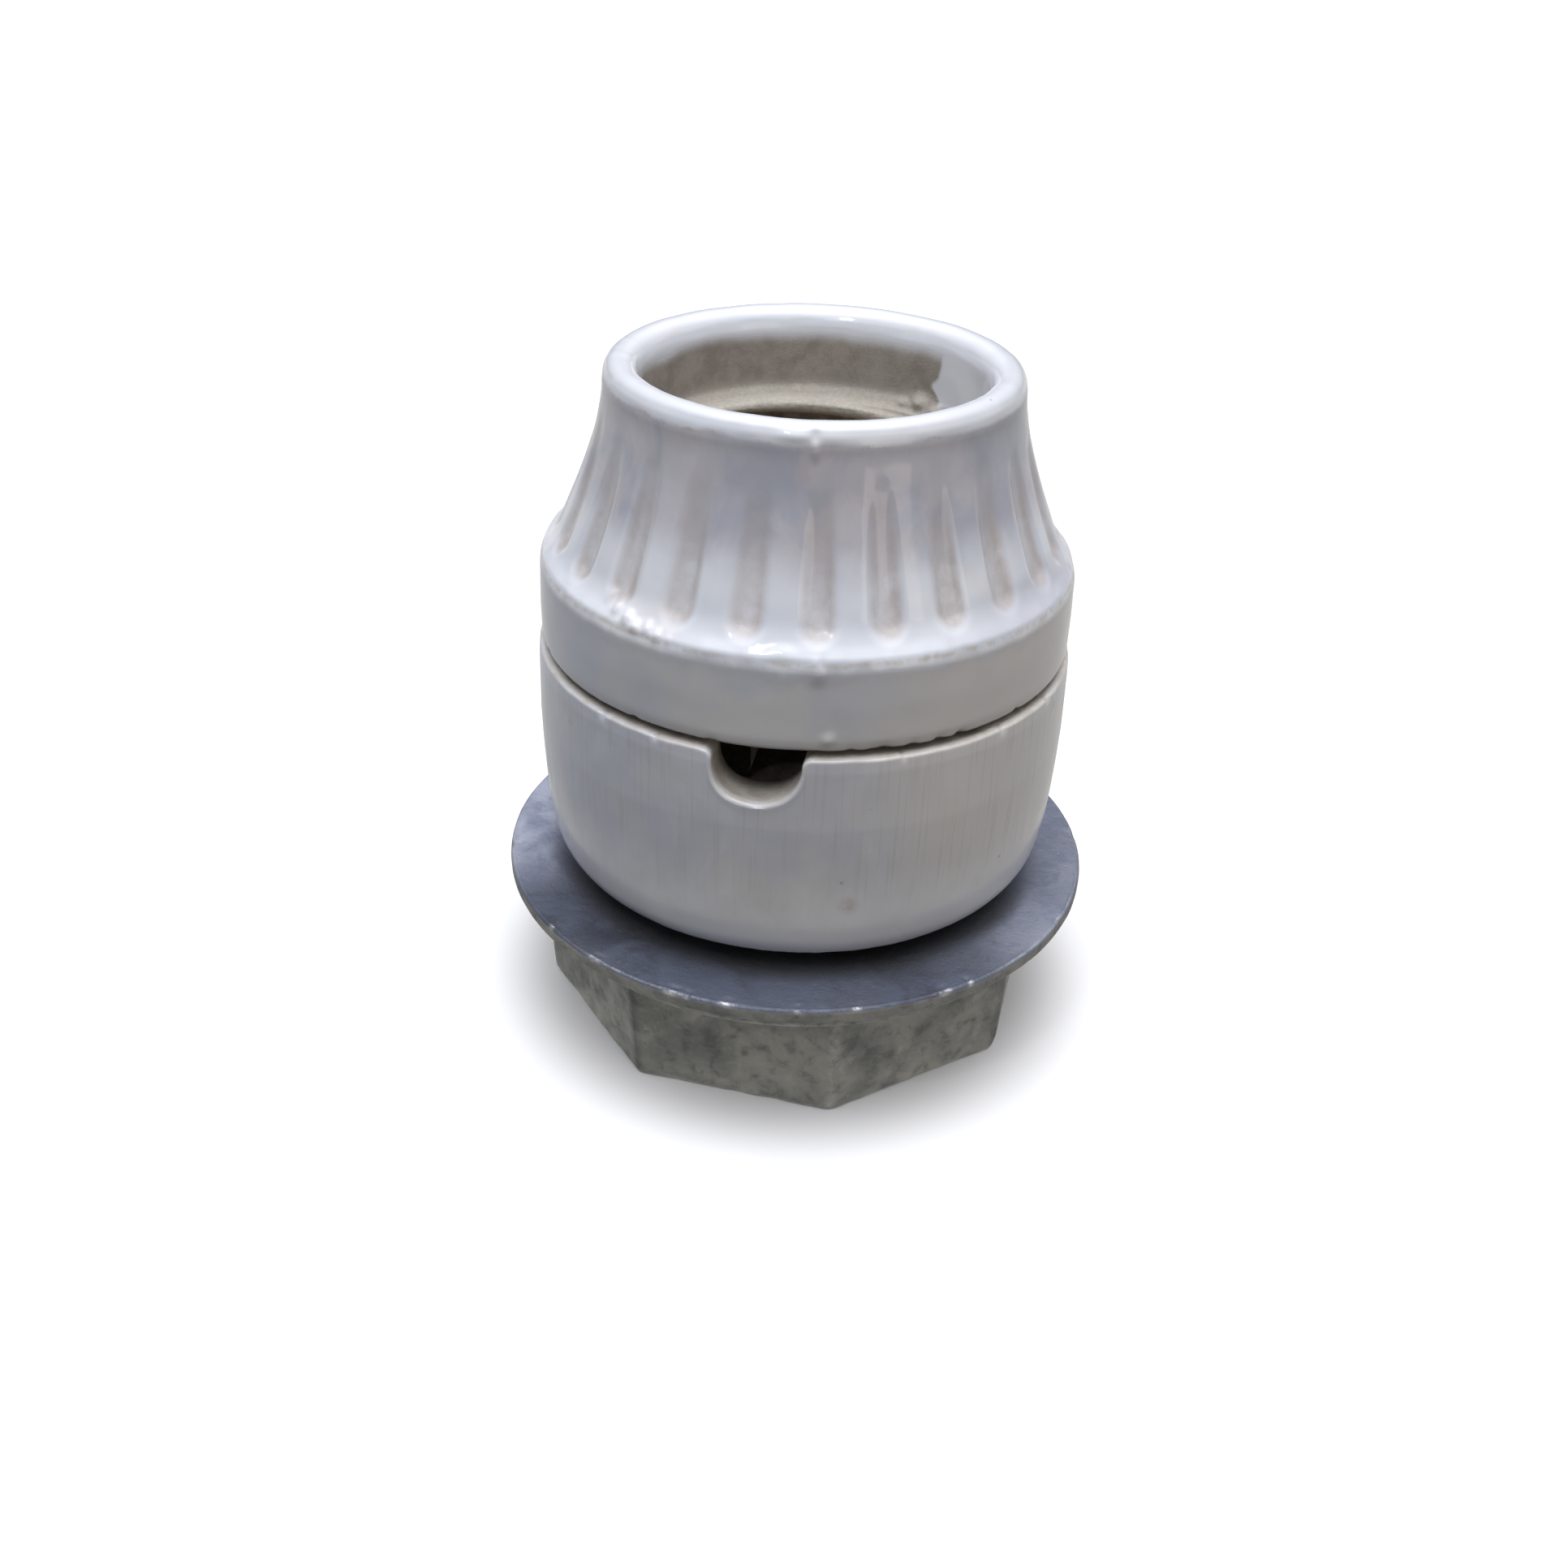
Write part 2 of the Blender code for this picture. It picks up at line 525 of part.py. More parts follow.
def make_side_contact():
    path = [(12.4, 32.7), (12.4, 35.0), (12.45, 38.0), (12.3, 39.2), (11.95, 40.2),
            (12.0, 40.9), (12.5, 41.7)]
    leaf = prism("side_contact_leaf", strip_outline(path, 0.5), -2.0, 2.0, 'Y', BRONZE)
    cut(leaf, rod("side_leaf_hole", 1.15, 11.0, 14.0, 0.0, 34.2, 12, axis='X'))
    smooth(leaf, 30)
    # small screw lying along X, head outside the leaf
    scr = turned("side_contact_screw", [(0, 14.0), (1.35, 14.0), (1.6, 13.75), (1.6, 12.95),
                                        (0.85, 12.95), (0.85, 11.0), (0, 11.0)], 14, BRASS)
    scr.data.transform(Matrix.Translation((0, 0, 34.2 * MM))
                       @ Matrix.Rotation(math.radians(90), 4, 'Y'))
    slot = block("side_screw_slot", 13.5, 15.0, -2.0, 2.0, 33.95, 34.45)
    cut(scr, slot)
    smooth(scr, 30)


make_base()
make_base_gasket()
make_body()
make_insert()
make_cap()
make_cap_gasket()
make_fixings()
make_terminals()
make_centre_contact()
make_side_contact()


# ---------------------------------------------------------------- joint origins
def on_axis(names, x, y, z):
    """Move each piece's origin to a point on its joint's axis."""
    for n in names:
        ob = bpy.data.objects[n]
        ob.data.transform(Matrix.Translation((-x * MM, -y * MM, -z * MM)))
        ob.location = (x * MM, y * MM, z * MM)
        for md in ob.modifiers:
            if md.type == 'BOOLEAN':
                md.object.hide_render = True


on_axis(["porcelain_cap", "cap_gasket"], 0, 0, CAP_Z0)
for _tag, _s in (("live", -1), ("neutral", 1)):
    on_axis(["terminal_screw_" + _tag, "clamp_plate_" + _tag], _s * TERM_X, TSCREW_Y,
            BLOCK[4])
on_axis(["centre_contact_leaf", "contact_button"], 0, 12.8, 36.6)
on_axis(["side_contact_leaf"], 12.4, 0, 34.2)
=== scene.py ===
"""Looks for the two-part porcelain lampholder on a flanged octagonal metal base.

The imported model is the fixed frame.  The cap, the body and the base are rebuilt here as
dense closed meshes with glaze, wear and casting detail; the inner pieces keep their
solids and get procedural materials.  Lengths in the helpers are millimetres.
"""
import bpy
import json
import math
import numpy as np
from mathutils import Matrix, Vector

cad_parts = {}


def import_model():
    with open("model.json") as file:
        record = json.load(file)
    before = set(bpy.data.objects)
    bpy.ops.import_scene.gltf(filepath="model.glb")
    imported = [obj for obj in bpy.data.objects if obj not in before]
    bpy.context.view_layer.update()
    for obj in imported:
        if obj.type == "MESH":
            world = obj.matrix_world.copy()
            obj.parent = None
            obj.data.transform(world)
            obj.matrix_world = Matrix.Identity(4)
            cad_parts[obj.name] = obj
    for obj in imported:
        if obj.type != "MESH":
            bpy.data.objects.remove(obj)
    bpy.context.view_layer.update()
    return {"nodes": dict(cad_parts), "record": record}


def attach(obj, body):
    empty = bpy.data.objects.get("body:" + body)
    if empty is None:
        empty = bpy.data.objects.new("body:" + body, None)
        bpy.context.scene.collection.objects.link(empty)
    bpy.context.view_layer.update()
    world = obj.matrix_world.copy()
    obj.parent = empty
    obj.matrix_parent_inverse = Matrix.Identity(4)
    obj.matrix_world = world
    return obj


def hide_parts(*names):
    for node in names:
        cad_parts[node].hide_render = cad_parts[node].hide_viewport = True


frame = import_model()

MM = 0.001
TAU = 2.0 * math.pi


# ------------------------------------------------------------------ numeric helpers
def hash01(ix, iy, iz, seed):
    h = (ix.astype(np.int64) * 374761393 + iy.astype(np.int64) * 668265263
         + iz.astype(np.int64) * 2147483647 + int(seed) * 974634777)
    h = (h ^ (h >> 13)) & 0xFFFFFFFF
    h = (h * 1274126177) & 0xFFFFFFFF
    h = (h ^ (h >> 16)) & 0xFFFFFFFF
    return h.astype(np.float64) / 4294967295.0


def noise3(x, y, z, seed=1):
    """Smooth value noise, -1..1."""
    x, y, z = np.broadcast_arrays(np.asarray(x, float), np.asarray(y, float), np.asarray(z, float))
    fx, fy, fz = np.floor(x), np.floor(y), np.floor(z)
    tx, ty, tz = x - fx, y - fy, z - fz
    tx = tx * tx * tx * (tx * (tx * 6 - 15) + 10)
    ty = ty * ty * ty * (ty * (ty * 6 - 15) + 10)
    tz = tz * tz * tz * (tz * (tz * 6 - 15) + 10)
    ix, iy, iz = fx.astype(np.int64), fy.astype(np.int64), fz.astype(np.int64)
    out = 0.0
    for dx in (0, 1):
        wx = tx if dx else 1 - tx
        for dy in (0, 1):
            wy = ty if dy else 1 - ty
            for dz in (0, 1):
                wz = tz if dz else 1 - tz
                out = out + wx * wy * wz * hash01(ix + dx, iy + dy, iz + dz, seed)
    return 2.0 * out - 1.0


def fbm(x, y, z, seed=1, octaves=3, gain=0.5):
    out, amp, tot = 0.0, 1.0, 0.0
    f = 1.0
    for k in range(octaves):
        out = out + amp * noise3(x * f + 17.3 * k, y * f - 9.1 * k, z * f + 4.7 * k, seed + 31 * k)
        tot += amp
        amp *= gain
        f *= 2.03
    return out / tot


def smooth01(x, a, b):
    t = np.clip((np.asarray(x, float) - a) / (b - a), 0.0, 1.0)
    return t * t * (3 - 2 * t)


def wrap_deg(a):
    return (np.asarray(a, float) + 180.0) % 360.0 - 180.0


def bumpf(x, w):
    """1 at 0, smoothly 0 beyond |x| = w."""
    t = np.clip(1.0 - np.abs(np.asarray(x, float)) / w, 0.0, 1.0)
    return t * t * (3 - 2 * t)


def profile(points, step, closed=False):
    """Dense outline from (r, z, cut[, step]) points: each corner is replaced by a curve that
    starts and ends `cut` before and after it; a cut of None takes half of each side."""
    pts = [(p[0], p[1]) for p in points]
    cuts = [(p[2] if len(p) > 2 else None) for p in points]
    steps = [(p[3] if len(p) > 3 else step) for p in points]
    n = len(pts)
    out = []
    rng = range(n) if closed else range(1, n - 1)
    ends = []
    for i in range(n):
        if not closed and i in (0, n - 1):
            ends.append((pts[i], pts[i]))
            continue
        p = np.array(pts[i]); a = np.array(pts[i - 1]); b = np.array(pts[(i + 1) % n])
        la, lb = np.linalg.norm(a - p), np.linalg.norm(b - p)
        ca = min(0.5 * la, cuts[i] if cuts[i] is not None else 0.5 * la)
        cb = min(0.5 * lb, cuts[i] if cuts[i] is not None else 0.5 * lb)
        ends.append((p + (a - p) / la * ca, p + (b - p) / lb * cb))
    for i in range(n):
        e0, e1 = np.array(ends[i][0]), np.array(ends[i][1])
        p = np.array(pts[i])
        if np.linalg.norm(e1 - e0) > 1e-9:
            length = np.linalg.norm(p - e0) + np.linalg.norm(e1 - p)
            k = max(3, int(math.ceil(length / steps[i])))
            for j in range(k):
                t = j / k
                out.append((1 - t) ** 2 * e0 + 2 * t * (1 - t) * p + t * t * e1)
        else:
            out.append(e0)
        if closed or i < n - 1:
            q0 = e1
            q1 = np.array(ends[(i + 1) % n][0])
            length = np.linalg.norm(q1 - q0)
            if length > 1e-9:
                st = min(steps[i], steps[(i + 1) % n]) if length < 1.0 else step
                k = max(1, int(round(length / st)))
                first = 0 if np.linalg.norm(e1 - e0) > 1e-9 else 1
                for j in range(first, k):
                    out.append(q0 + (q1 - q0) * (j / k))
    out = np.array(out)
    keep = [0]
    for i in range(1, len(out)):
        if np.linalg.norm(out[i] - out[keep[-1]]) > 0.02:
            keep.append(i)
    out = out[keep]
    if closed and np.linalg.norm(out[0] - out[-1]) < 0.02:
        out = out[:-1]
    return out


# --------------------------------------------------------------------- mesh helpers
def link(ob):
    bpy.context.scene.collection.objects.link(ob)
    return ob


def mesh_object(name, verts_mm, faces, mat):
    me = bpy.data.meshes.new(name)
    verts = np.asarray(verts_mm, float) * MM
    me.from_pydata(verts, [], faces)
    me.update()
    me.shade_smooth()
    if mat is not None:
        me.materials.append(mat)
    return link(bpy.data.objects.new(name, me))


def loop_grid(name, X, Y, Z, mat):
    """Closed ring surface: rows go round the section, columns go round the axis."""
    m, n = X.shape
    verts = np.stack([X, Y, Z], axis=-1).reshape(-1, 3)
    i = np.arange(m)[:, None]
    j = np.arange(n)[None, :]
    a = i * n + j
    b = i * n + (j + 1) % n
    c = ((i + 1) % m) * n + (j + 1) % n
    d = ((i + 1) % m) * n + j
    faces = np.stack([a, b, c, d], axis=-1).reshape(-1, 4)
    p = verts[faces]
    vol = np.sum(p[:, 0] * np.cross(p[:, 1], p[:, 2]) + p[:, 0] * np.cross(p[:, 2], p[:, 3]))
    if vol < 0:
        faces = faces[:, ::-1]
    return mesh_object(name, verts, faces.tolist(), mat)


def coords(ob):
    co = np.zeros(len(ob.data.vertices) * 3, np.float32)
    ob.data.vertices.foreach_get("co", co)
    return co.reshape(-1, 3).astype(float) / MM


def mask(ob, name, values):
    me = ob.data
    at = me.attributes.get(name) or me.attributes.new(name, 'FLOAT', 'POINT')
    at.data.foreach_set("value", np.clip(np.asarray(values, np.float32), 0.0, 1.0))


def cylinder_mesh(r, z0, z1, x, y, seg=48):
    v, f = [], []
    for z in (z0, z1):
        for k in range(seg):
            a = TAU * k / seg
            v.append((x + r * math.cos(a), y + r * math.sin(a), z))
    for k in range(seg):
        f.append((k, (k + 1) % seg, seg + (k + 1) % seg, seg + k))
    f.append(tuple(range(seg))[::-1])
    f.append(tuple(range(seg, 2 * seg)))
    return mesh_object("tool", v, f, None)


def drill(ob, holes):
    """Cuts round holes (r, z0, z1, x, y) right through a plate of ob."""
    for r, z0, z1, x, y in holes:
        tool = cylinder_mesh(r, z0, z1, x, y)
        md = ob.modifiers.new("hole", 'BOOLEAN')
        md.operation = 'DIFFERENCE'
        md.solver = 'MANIFOLD'
        md.object = tool
        dg = bpy.context.evaluated_depsgraph_get()
        me = bpy.data.meshes.new_from_object(ob.evaluated_get(dg))
        ob.modifiers.clear()
        old = ob.data
        ob.data = me
        me.name = ob.name
        bpy.data.meshes.remove(old)
        tm = tool.data
        bpy.data.objects.remove(tool)
        bpy.data.meshes.remove(tm)
    ob.data.shade_smooth()
    ob.data.set_sharp_from_angle(angle=math.radians(50.0))
    return ob


# ------------------------------------------------------------------------ node trees
class Tree:
    def __init__(self, name):
        self.mat = bpy.data.materials.new(name)
        self.mat.use_nodes = True
        self.nt = self.mat.node_tree
        self.nt.nodes.clear()
        self.out = self.nt.nodes.new("ShaderNodeOutputMaterial")
        self.bsdf = self.nt.nodes.new("ShaderNodeBsdfPrincipled")
        self.nt.links.new(self.bsdf.outputs[0], self.out.inputs[0])
        tc = self.nt.nodes.new("ShaderNodeTexCoord")
        mp = self.nt.nodes.new("ShaderNodeMapping")
        mp.inputs["Scale"].default_value = (1000.0, 1000.0, 1000.0)
        self.nt.links.new(tc.outputs["Object"], mp.inputs["Vector"])
        self.co = mp.outputs[0]          # object coordinates in millimetres

    def _in(self, sock, v):
        if isinstance(v, bpy.types.NodeSocket):
            self.nt.links.new(v, sock)
        elif isinstance(v, (tuple, list)) and len(v) == 3 and sock.type == 'RGBA':
            sock.default_value = (*v, 1.0)
        else:
            sock.default_value = v

    def mapped(self, scale=(1, 1, 1), loc=(0, 0, 0)):
        mp = self.nt.nodes.new("ShaderNodeMapping")
        self.nt.links.new(self.co, mp.inputs["Vector"])
        mp.inputs["Scale"].default_value = scale
        mp.inputs["Location"].default_value = loc
        return mp.outputs[0]

    def cyl(self):
        """(arc in mm at r = 23.9, z) of a point, for streaks that run down the walls."""
        s = self.nt.nodes.new("ShaderNodeSeparateXYZ")
        self.nt.links.new(self.co, s.inputs[0])
        ang = self.math('ARCTAN2', s.outputs[1], s.outputs[0])
        arc = self.math('MULTIPLY', ang, 23.9)
        return arc, s.outputs[2]

    def xyz(self):
        s = self.nt.nodes.new("ShaderNodeSeparateXYZ")
        self.nt.links.new(self.co, s.inputs[0])
        return s.outputs[0], s.outputs[1], s.outputs[2]

    def combine(self, x, y, z):
        c = self.nt.nodes.new("ShaderNodeCombineXYZ")
        for k, v in zip((0, 1, 2), (x, y, z)):
            self._in(c.inputs[k], v)
        return c.outputs[0]

    def noise(self, scale, detail=2.0, rough=0.5, vec=None, distort=0.0):
        n = self.nt.nodes.new("ShaderNodeTexNoise")
        self.nt.links.new(vec if vec is not None else self.co, n.inputs["Vector"])
        n.inputs["Scale"].default_value = scale
        n.inputs["Detail"].default_value = detail
        n.inputs["Roughness"].default_value = rough
        n.inputs["Distortion"].default_value = distort
        return n.outputs["Fac"]

    def voronoi(self, scale, vec=None, feature='F1', rand=1.0):
        n = self.nt.nodes.new("ShaderNodeTexVoronoi")
        n.feature = feature
        self.nt.links.new(vec if vec is not None else self.co, n.inputs["Vector"])
        n.inputs["Scale"].default_value = scale
        n.inputs["Randomness"].default_value = rand
        return n.outputs["Distance"]

    def math(self, op, a, b=0.0, c=None, clamp=False):
        n = self.nt.nodes.new("ShaderNodeMath")
        n.operation = op
        n.use_clamp = clamp
        self._in(n.inputs[0], a)
        self._in(n.inputs[1], b)
        if c is not None:
            self._in(n.inputs[2], c)
        return n.outputs[0]

    def ramp(self, fac, a, b, lo=0.0, hi=1.0, smooth=True):
        n = self.nt.nodes.new("ShaderNodeMapRange")
        n.interpolation_type = 'SMOOTHSTEP' if smooth else 'LINEAR'
        n.clamp = True
        self._in(n.inputs["Value"], fac)
        n.inputs["From Min"].default_value = a
        n.inputs["From Max"].default_value = b
        n.inputs["To Min"].default_value = lo
        n.inputs["To Max"].default_value = hi
        return n.outputs["Result"]

    def mix(self, fac, a, b, mode='MIX'):
        n = self.nt.nodes.new("ShaderNodeMix")
        n.data_type = 'RGBA'
        n.blend_type = mode
        n.clamp_factor = True
        self._in(n.inputs[0], fac)
        self._in(n.inputs[6], a)
        self._in(n.inputs[7], b)
        return n.outputs[2]

    def lerp(self, fac, a, b):
        n = self.nt.nodes.new("ShaderNodeMix")
        n.data_type = 'FLOAT'
        n.clamp_factor = True
        self._in(n.inputs[0], fac)
        self._in(n.inputs[2], a)
        self._in(n.inputs[3], b)
        return n.outputs[0]

    def attr(self, name):
        n = self.nt.nodes.new("ShaderNodeAttribute")
        n.attribute_type = 'GEOMETRY'
        n.attribute_name = name
        return n.outputs["Fac"]

    def bump(self, height, distance_mm, strength=1.0, normal=None):
        n = self.nt.nodes.new("ShaderNodeBump")
        n.inputs["Strength"].default_value = strength
        n.inputs["Distance"].default_value = distance_mm * MM
        self._in(n.inputs["Height"], height)
        if normal is not None:
            self.nt.links.new(normal, n.inputs["Normal"])
        return n.outputs[0]

    def set(self, **kw):
        names = {"color": "Base Color", "rough": "Roughness", "metal": "Metallic",
                 "normal": "Normal", "coat": "Coat Weight", "coat_rough": "Coat Roughness",
                 "coat_normal": "Coat Normal", "ior": "IOR", "spec": "Specular IOR Level",
                 "sss": "Subsurface Weight", "sss_scale": "Subsurface Scale"}
        for k, v in kw.items():
            self._in(self.bsdf.inputs[names[k]], v)
        return self.mat


# ------------------------------------------------------------------------- materials
def glazed_cap_material():
    t = Tree("glazed_porcelain")
    flute, thin, bare, cream = t.attr("flute"), t.attr("thin"), t.attr("bare"), t.attr("cream")
    cloud = t.noise(0.11, 3.0, 0.5)
    cloud2 = t.noise(0.33, 3.0, 0.55, t.mapped((1, 1, 0.6), (7, 3, 1)))
    col = t.mix(t.ramp(cloud, 0.35, 0.68), (0.715, 0.745, 0.815), (0.785, 0.800, 0.845))
    col = t.mix(t.ramp(cloud2, 0.52, 0.80, 0.0, 0.45), col, (0.745, 0.725, 0.720))
    # the steep neck and the skirt are greyer and duller than the up-facing glaze: partly the glaze's own grey with a
    # violet cast where it runs thin, partly painted shade on the vertical walls
    cx_, cy_, cz_ = t.xyz()
    wav = t.math('MULTIPLY', t.math('SUBTRACT', cloud2, 0.5), 3.0)
    zw = t.math('ADD', cz_, wav)
    rad = t.math('SQRT', t.math('ADD', t.math('MULTIPLY', cx_, cx_), t.math('MULTIPLY', cy_, cy_)))
    outside = t.ramp(rad, 15.6, 16.4)
    edge_w = t.math('MULTIPLY', t.math('SUBTRACT', t.noise(0.20, 1.5, 0.5), 0.5), 1.1)
    line = t.ramp(t.math('ADD', cz_, edge_w), 60.05, 60.55, 1.0, 0.0)
    neck = t.math('MULTIPLY', t.math('MULTIPLY', t.ramp(zw, 49.3, 53.6), line), outside)
    neckc = t.mix(t.ramp(t.noise(0.16, 4.0, 0.6, t.mapped((1, 1, 0.8), (11, 5, 2)), 0.5), 0.36, 0.62),
                  (0.455, 0.470, 0.545), (0.580, 0.560, 0.600))
    neckc = t.mix(t.ramp(t.noise(0.42, 4.0, 0.65, t.mapped((1, 1, 0.7), (2, 8, 5))), 0.52, 0.74, 0.0, 0.6),
                  neckc, (0.530, 0.480, 0.490))
    col = t.mix(t.math('MULTIPLY', neck, 0.95), col, neckc)
    # the crest is a little greyer than the shoulder, with a fine brown line where the glaze breaks
    crest = t.math('MULTIPLY', t.ramp(cz_, 60.9, 61.5), outside)
    back = t.ramp(cy_, -4.0, 12.0)
    col = t.mix(t.math('MULTIPLY', crest, 0.90), col, t.mix(back, (0.660, 0.680, 0.730), (0.560, 0.580, 0.635)))
    inner_gl = t.math('MULTIPLY', t.ramp(rad, 15.0, 14.8, 0.0, 1.0), t.ramp(cz_, 60.9, 60.2, 0.0, 1.0))
    col = t.mix(inner_gl, col, (0.880, 0.915, 0.990))
    brk = t.math('MULTIPLY', t.ramp(t.math('ABSOLUTE', t.math('SUBTRACT', t.math('ADD', cz_, edge_w), 60.2)), 0.06, 0.26, 1.0, 0.0),
                 t.ramp(t.noise(0.9, 4.0, 0.7), 0.50, 0.68, 0.0, 0.55))
    col = t.mix(t.math('MULTIPLY', brk, outside), col, (0.42, 0.38, 0.35))
    skirt = t.math('MULTIPLY', t.ramp(zw, 43.2, 44.9, 1.0, 0.0), t.ramp(rad, 21.5, 22.5))
    skc = t.mix(t.ramp(cloud, 0.40, 0.62), (0.590, 0.605, 0.665), (0.680, 0.672, 0.668))
    col = t.mix(t.math('MULTIPLY', skirt, 0.92), col, skc)
    col = t.mix(t.math('MULTIPLY', skirt, t.ramp(zw, 42.6, 44.6, 0.0, 0.55)), col, (0.40, 0.39, 0.42))
    # painted shade: the right of the shoulder is darker and bluer, where less light falls
    shoulder_right_shade = t.math('MULTIPLY', t.ramp(cx_, 12.0, 20.5), t.math('MULTIPLY', t.ramp(cz_, 44.6, 45.4), t.ramp(cz_, 48.5, 47.0, 0.0, 1.0)))
    col = t.mix(t.math('MULTIPLY', shoulder_right_shade, 0.75), col, (0.560, 0.575, 0.640))
    # painted light: the skirt is warmer and paler on the right and bluer on the left, the tints of the warm and cool
    # side light
    col = t.mix(t.math('MULTIPLY', skirt, t.ramp(cx_, 2.0, 16.0, 0.0, 0.85)), col, (0.730, 0.700, 0.672))
    col = t.mix(t.math('MULTIPLY', skirt, t.ramp(cx_, -4.0, -17.0, 0.0, 0.55)), col, (0.600, 0.632, 0.725))
    # thin glaze in the flutes shows the grey-beige body
    fl = t.math('MULTIPLY', flute, t.ramp(t.noise(0.7, 4.0, 0.6), 0.22, 0.66, 0.55, 1.0), clamp=True)
    flcol = t.mix(t.noise(1.6, 4.0, 0.6), (0.450, 0.410, 0.400), (0.545, 0.505, 0.500))
    col = t.mix(fl, col, flcol)
    # thin glaze along sharp edges goes beige to brown
    tn = t.math('MULTIPLY', thin, t.ramp(t.noise(0.8, 4.0, 0.65), 0.36, 0.62, 0.0, 1.0), clamp=True)
    col = t.mix(t.math('MULTIPLY', tn, 0.85), col, (0.560, 0.518, 0.462))
    # pin holes and specks
    sp = t.ramp(t.voronoi(0.16, t.mapped((1, 1, 1), (1.7, 2.2, 0.4))), 0.022, 0.040, 1.0, 0.0)
    col = t.mix(t.math('MULTIPLY', sp, 0.6), col, (0.26, 0.23, 0.20))
    # unglazed bisque inside
    b1 = t.noise(0.45, 4.0, 0.6)
    b2 = t.noise(2.6, 5.0, 0.7)
    bis = t.mix(t.ramp(b1, 0.32, 0.68), (0.330, 0.295, 0.262), (0.440, 0.400, 0.355))
    bis = t.mix(t.math('MULTIPLY', t.ramp(b2, 0.45, 0.75), 0.35), bis, (0.28, 0.245, 0.215))
    crm = t.mix(t.ramp(b2, 0.35, 0.7), (0.400, 0.372, 0.322), (0.510, 0.482, 0.430))
    bis = t.mix(cream, bis, crm)
    # painted shade: the roots of the lamp thread are darkened almost to black brown
    bis = t.mix(t.math('MULTIPLY', t.attr("dark"), 0.85), bis, (0.115, 0.098, 0.080))
    col = t.mix(bare, col, bis)
    peel = t.noise(0.55, 2.0, 0.4)
    grain = t.noise(5.5, 4.0, 0.7)
    n1 = t.bump(peel, 0.030, 0.55)
    height = t.math('MULTIPLY', grain, t.math('ADD', t.math('MULTIPLY', bare, 1.0), t.math('MULTIPLY', fl, 0.12)))
    n2 = t.bump(height, 0.10, 0.8, n1)
    rough = t.lerp(bare, t.lerp(fl, t.ramp(cloud2, 0.3, 0.8, 0.055, 0.13), 0.26), 0.78)
    return t.set(color=col, rough=rough, normal=n2, ior=1.5)


def satin_body_material():
    t = Tree("body_porcelain")
    thin, bare, lip, dark = t.attr("thin"), t.attr("bare"), t.attr("lip"), t.attr("dark")
    arc, z = t.cyl()
    cloud = t.noise(0.075, 3.0, 0.55)
    cloud2 = t.noise(0.25, 3.0, 0.6, t.mapped((1, 1, 0.55), (3, 9, 1)))
    col = t.mix(t.ramp(cloud, 0.36, 0.66), (0.595, 0.608, 0.676), (0.695, 0.680, 0.662))
    col = t.mix(t.ramp(cloud2, 0.50, 0.80, 0.0, 0.45), col, (0.66, 0.635, 0.605))
    bx, by, bz = t.xyz()
    # painted light: warmer and paler on the right, bluer on the left, the tints of the warm and cool side light
    col = t.mix(t.ramp(bx, 3.0, 17.0, 0.0, 0.85), col, (0.745, 0.722, 0.694))
    col = t.mix(t.ramp(bx, -3.0, -17.0, 0.0, 0.75), col, (0.560, 0.592, 0.690))
    haze = t.noise(0.12, 4.0, 0.6, t.mapped((1, 1, 0.8), (21, 4, 9)), 0.6)
    col = t.mix(t.ramp(haze, 0.50, 0.72, 0.0, 0.55), col, (0.720, 0.740, 0.800))
    # fine vertical drag streaks from trimming on the wheel
    streak = t.noise(2.7, 2.0, 0.55, t.combine(arc, 0.0, t.math('MULTIPLY', z, 0.035)))
    streak2 = t.noise(6.0, 2.0, 0.6, t.combine(arc, 3.0, t.math('MULTIPLY', z, 0.05)))
    col = t.mix(t.ramp(streak, 0.50, 0.72, 0.0, 0.26), col, (0.45, 0.43, 0.41))
    # paler towards the foot: partly a paler glaze band, partly painted light standing in for light bounced up off the
    # floor
    zb = t.math('ADD', z, t.math('MULTIPLY', t.math('SUBTRACT', cloud2, 0.5), 5.0))
    col = t.mix(t.ramp(zb, 18.5, 27.0, 1.0, 0.0), col, (0.935, 0.940, 0.970))
    # the cream lip along the top edge and round the notch: partly the glaze lip's own colour, partly a painted
    # highlight on the edge
    col = t.mix(lip, col, (0.770, 0.745, 0.700))
    tn = t.math('MULTIPLY', thin, t.ramp(t.noise(0.9, 4.0, 0.65), 0.30, 0.60, 0.2, 1.0), clamp=True)
    col = t.mix(tn, col, (0.520, 0.470, 0.405))
    sp = t.ramp(t.voronoi(0.17, t.mapped((1, 1, 1), (4.7, 1.2, 6.4))), 0.018, 0.036, 1.0, 0.0)
    col = t.mix(t.math('MULTIPLY', sp, 0.55), col, (0.30, 0.275, 0.25))
    b1 = t.noise(0.5, 4.0, 0.6)
    b2 = t.noise(3.0, 5.0, 0.7)
    bis = t.mix(t.ramp(b1, 0.3, 0.7), (0.40, 0.365, 0.325), (0.56, 0.525, 0.475))
    bis = t.mix(t.math('MULTIPLY', t.ramp(b2, 0.45, 0.75), 0.30), bis, (0.33, 0.295, 0.26))
    col = t.mix(bare, col, bis)
    # painted shade: the inside of the notch channel and the inner wall of the cavity are darkened towards black
    col = t.mix(t.math('MULTIPLY', dark, 0.93), col, (0.060, 0.052, 0.045))
    sb = t.bump(t.math('ADD', t.math('MULTIPLY', streak, 0.75), t.math('MULTIPLY', streak2, 0.25)), 0.022, 0.6)
    pb = t.bump(t.noise(0.45, 2.0, 0.45), 0.035, 0.5, sb)
    nb = t.bump(t.math('MULTIPLY', t.noise(5.0, 4.0, 0.7), bare), 0.10, 0.8, pb)
    rough = t.lerp(bare, t.ramp(cloud2, 0.3, 0.8, 0.16, 0.28), 0.80)
    rough = t.lerp(lip, rough, 0.12)
    return t.set(color=col, rough=rough, normal=nb, ior=1.5)


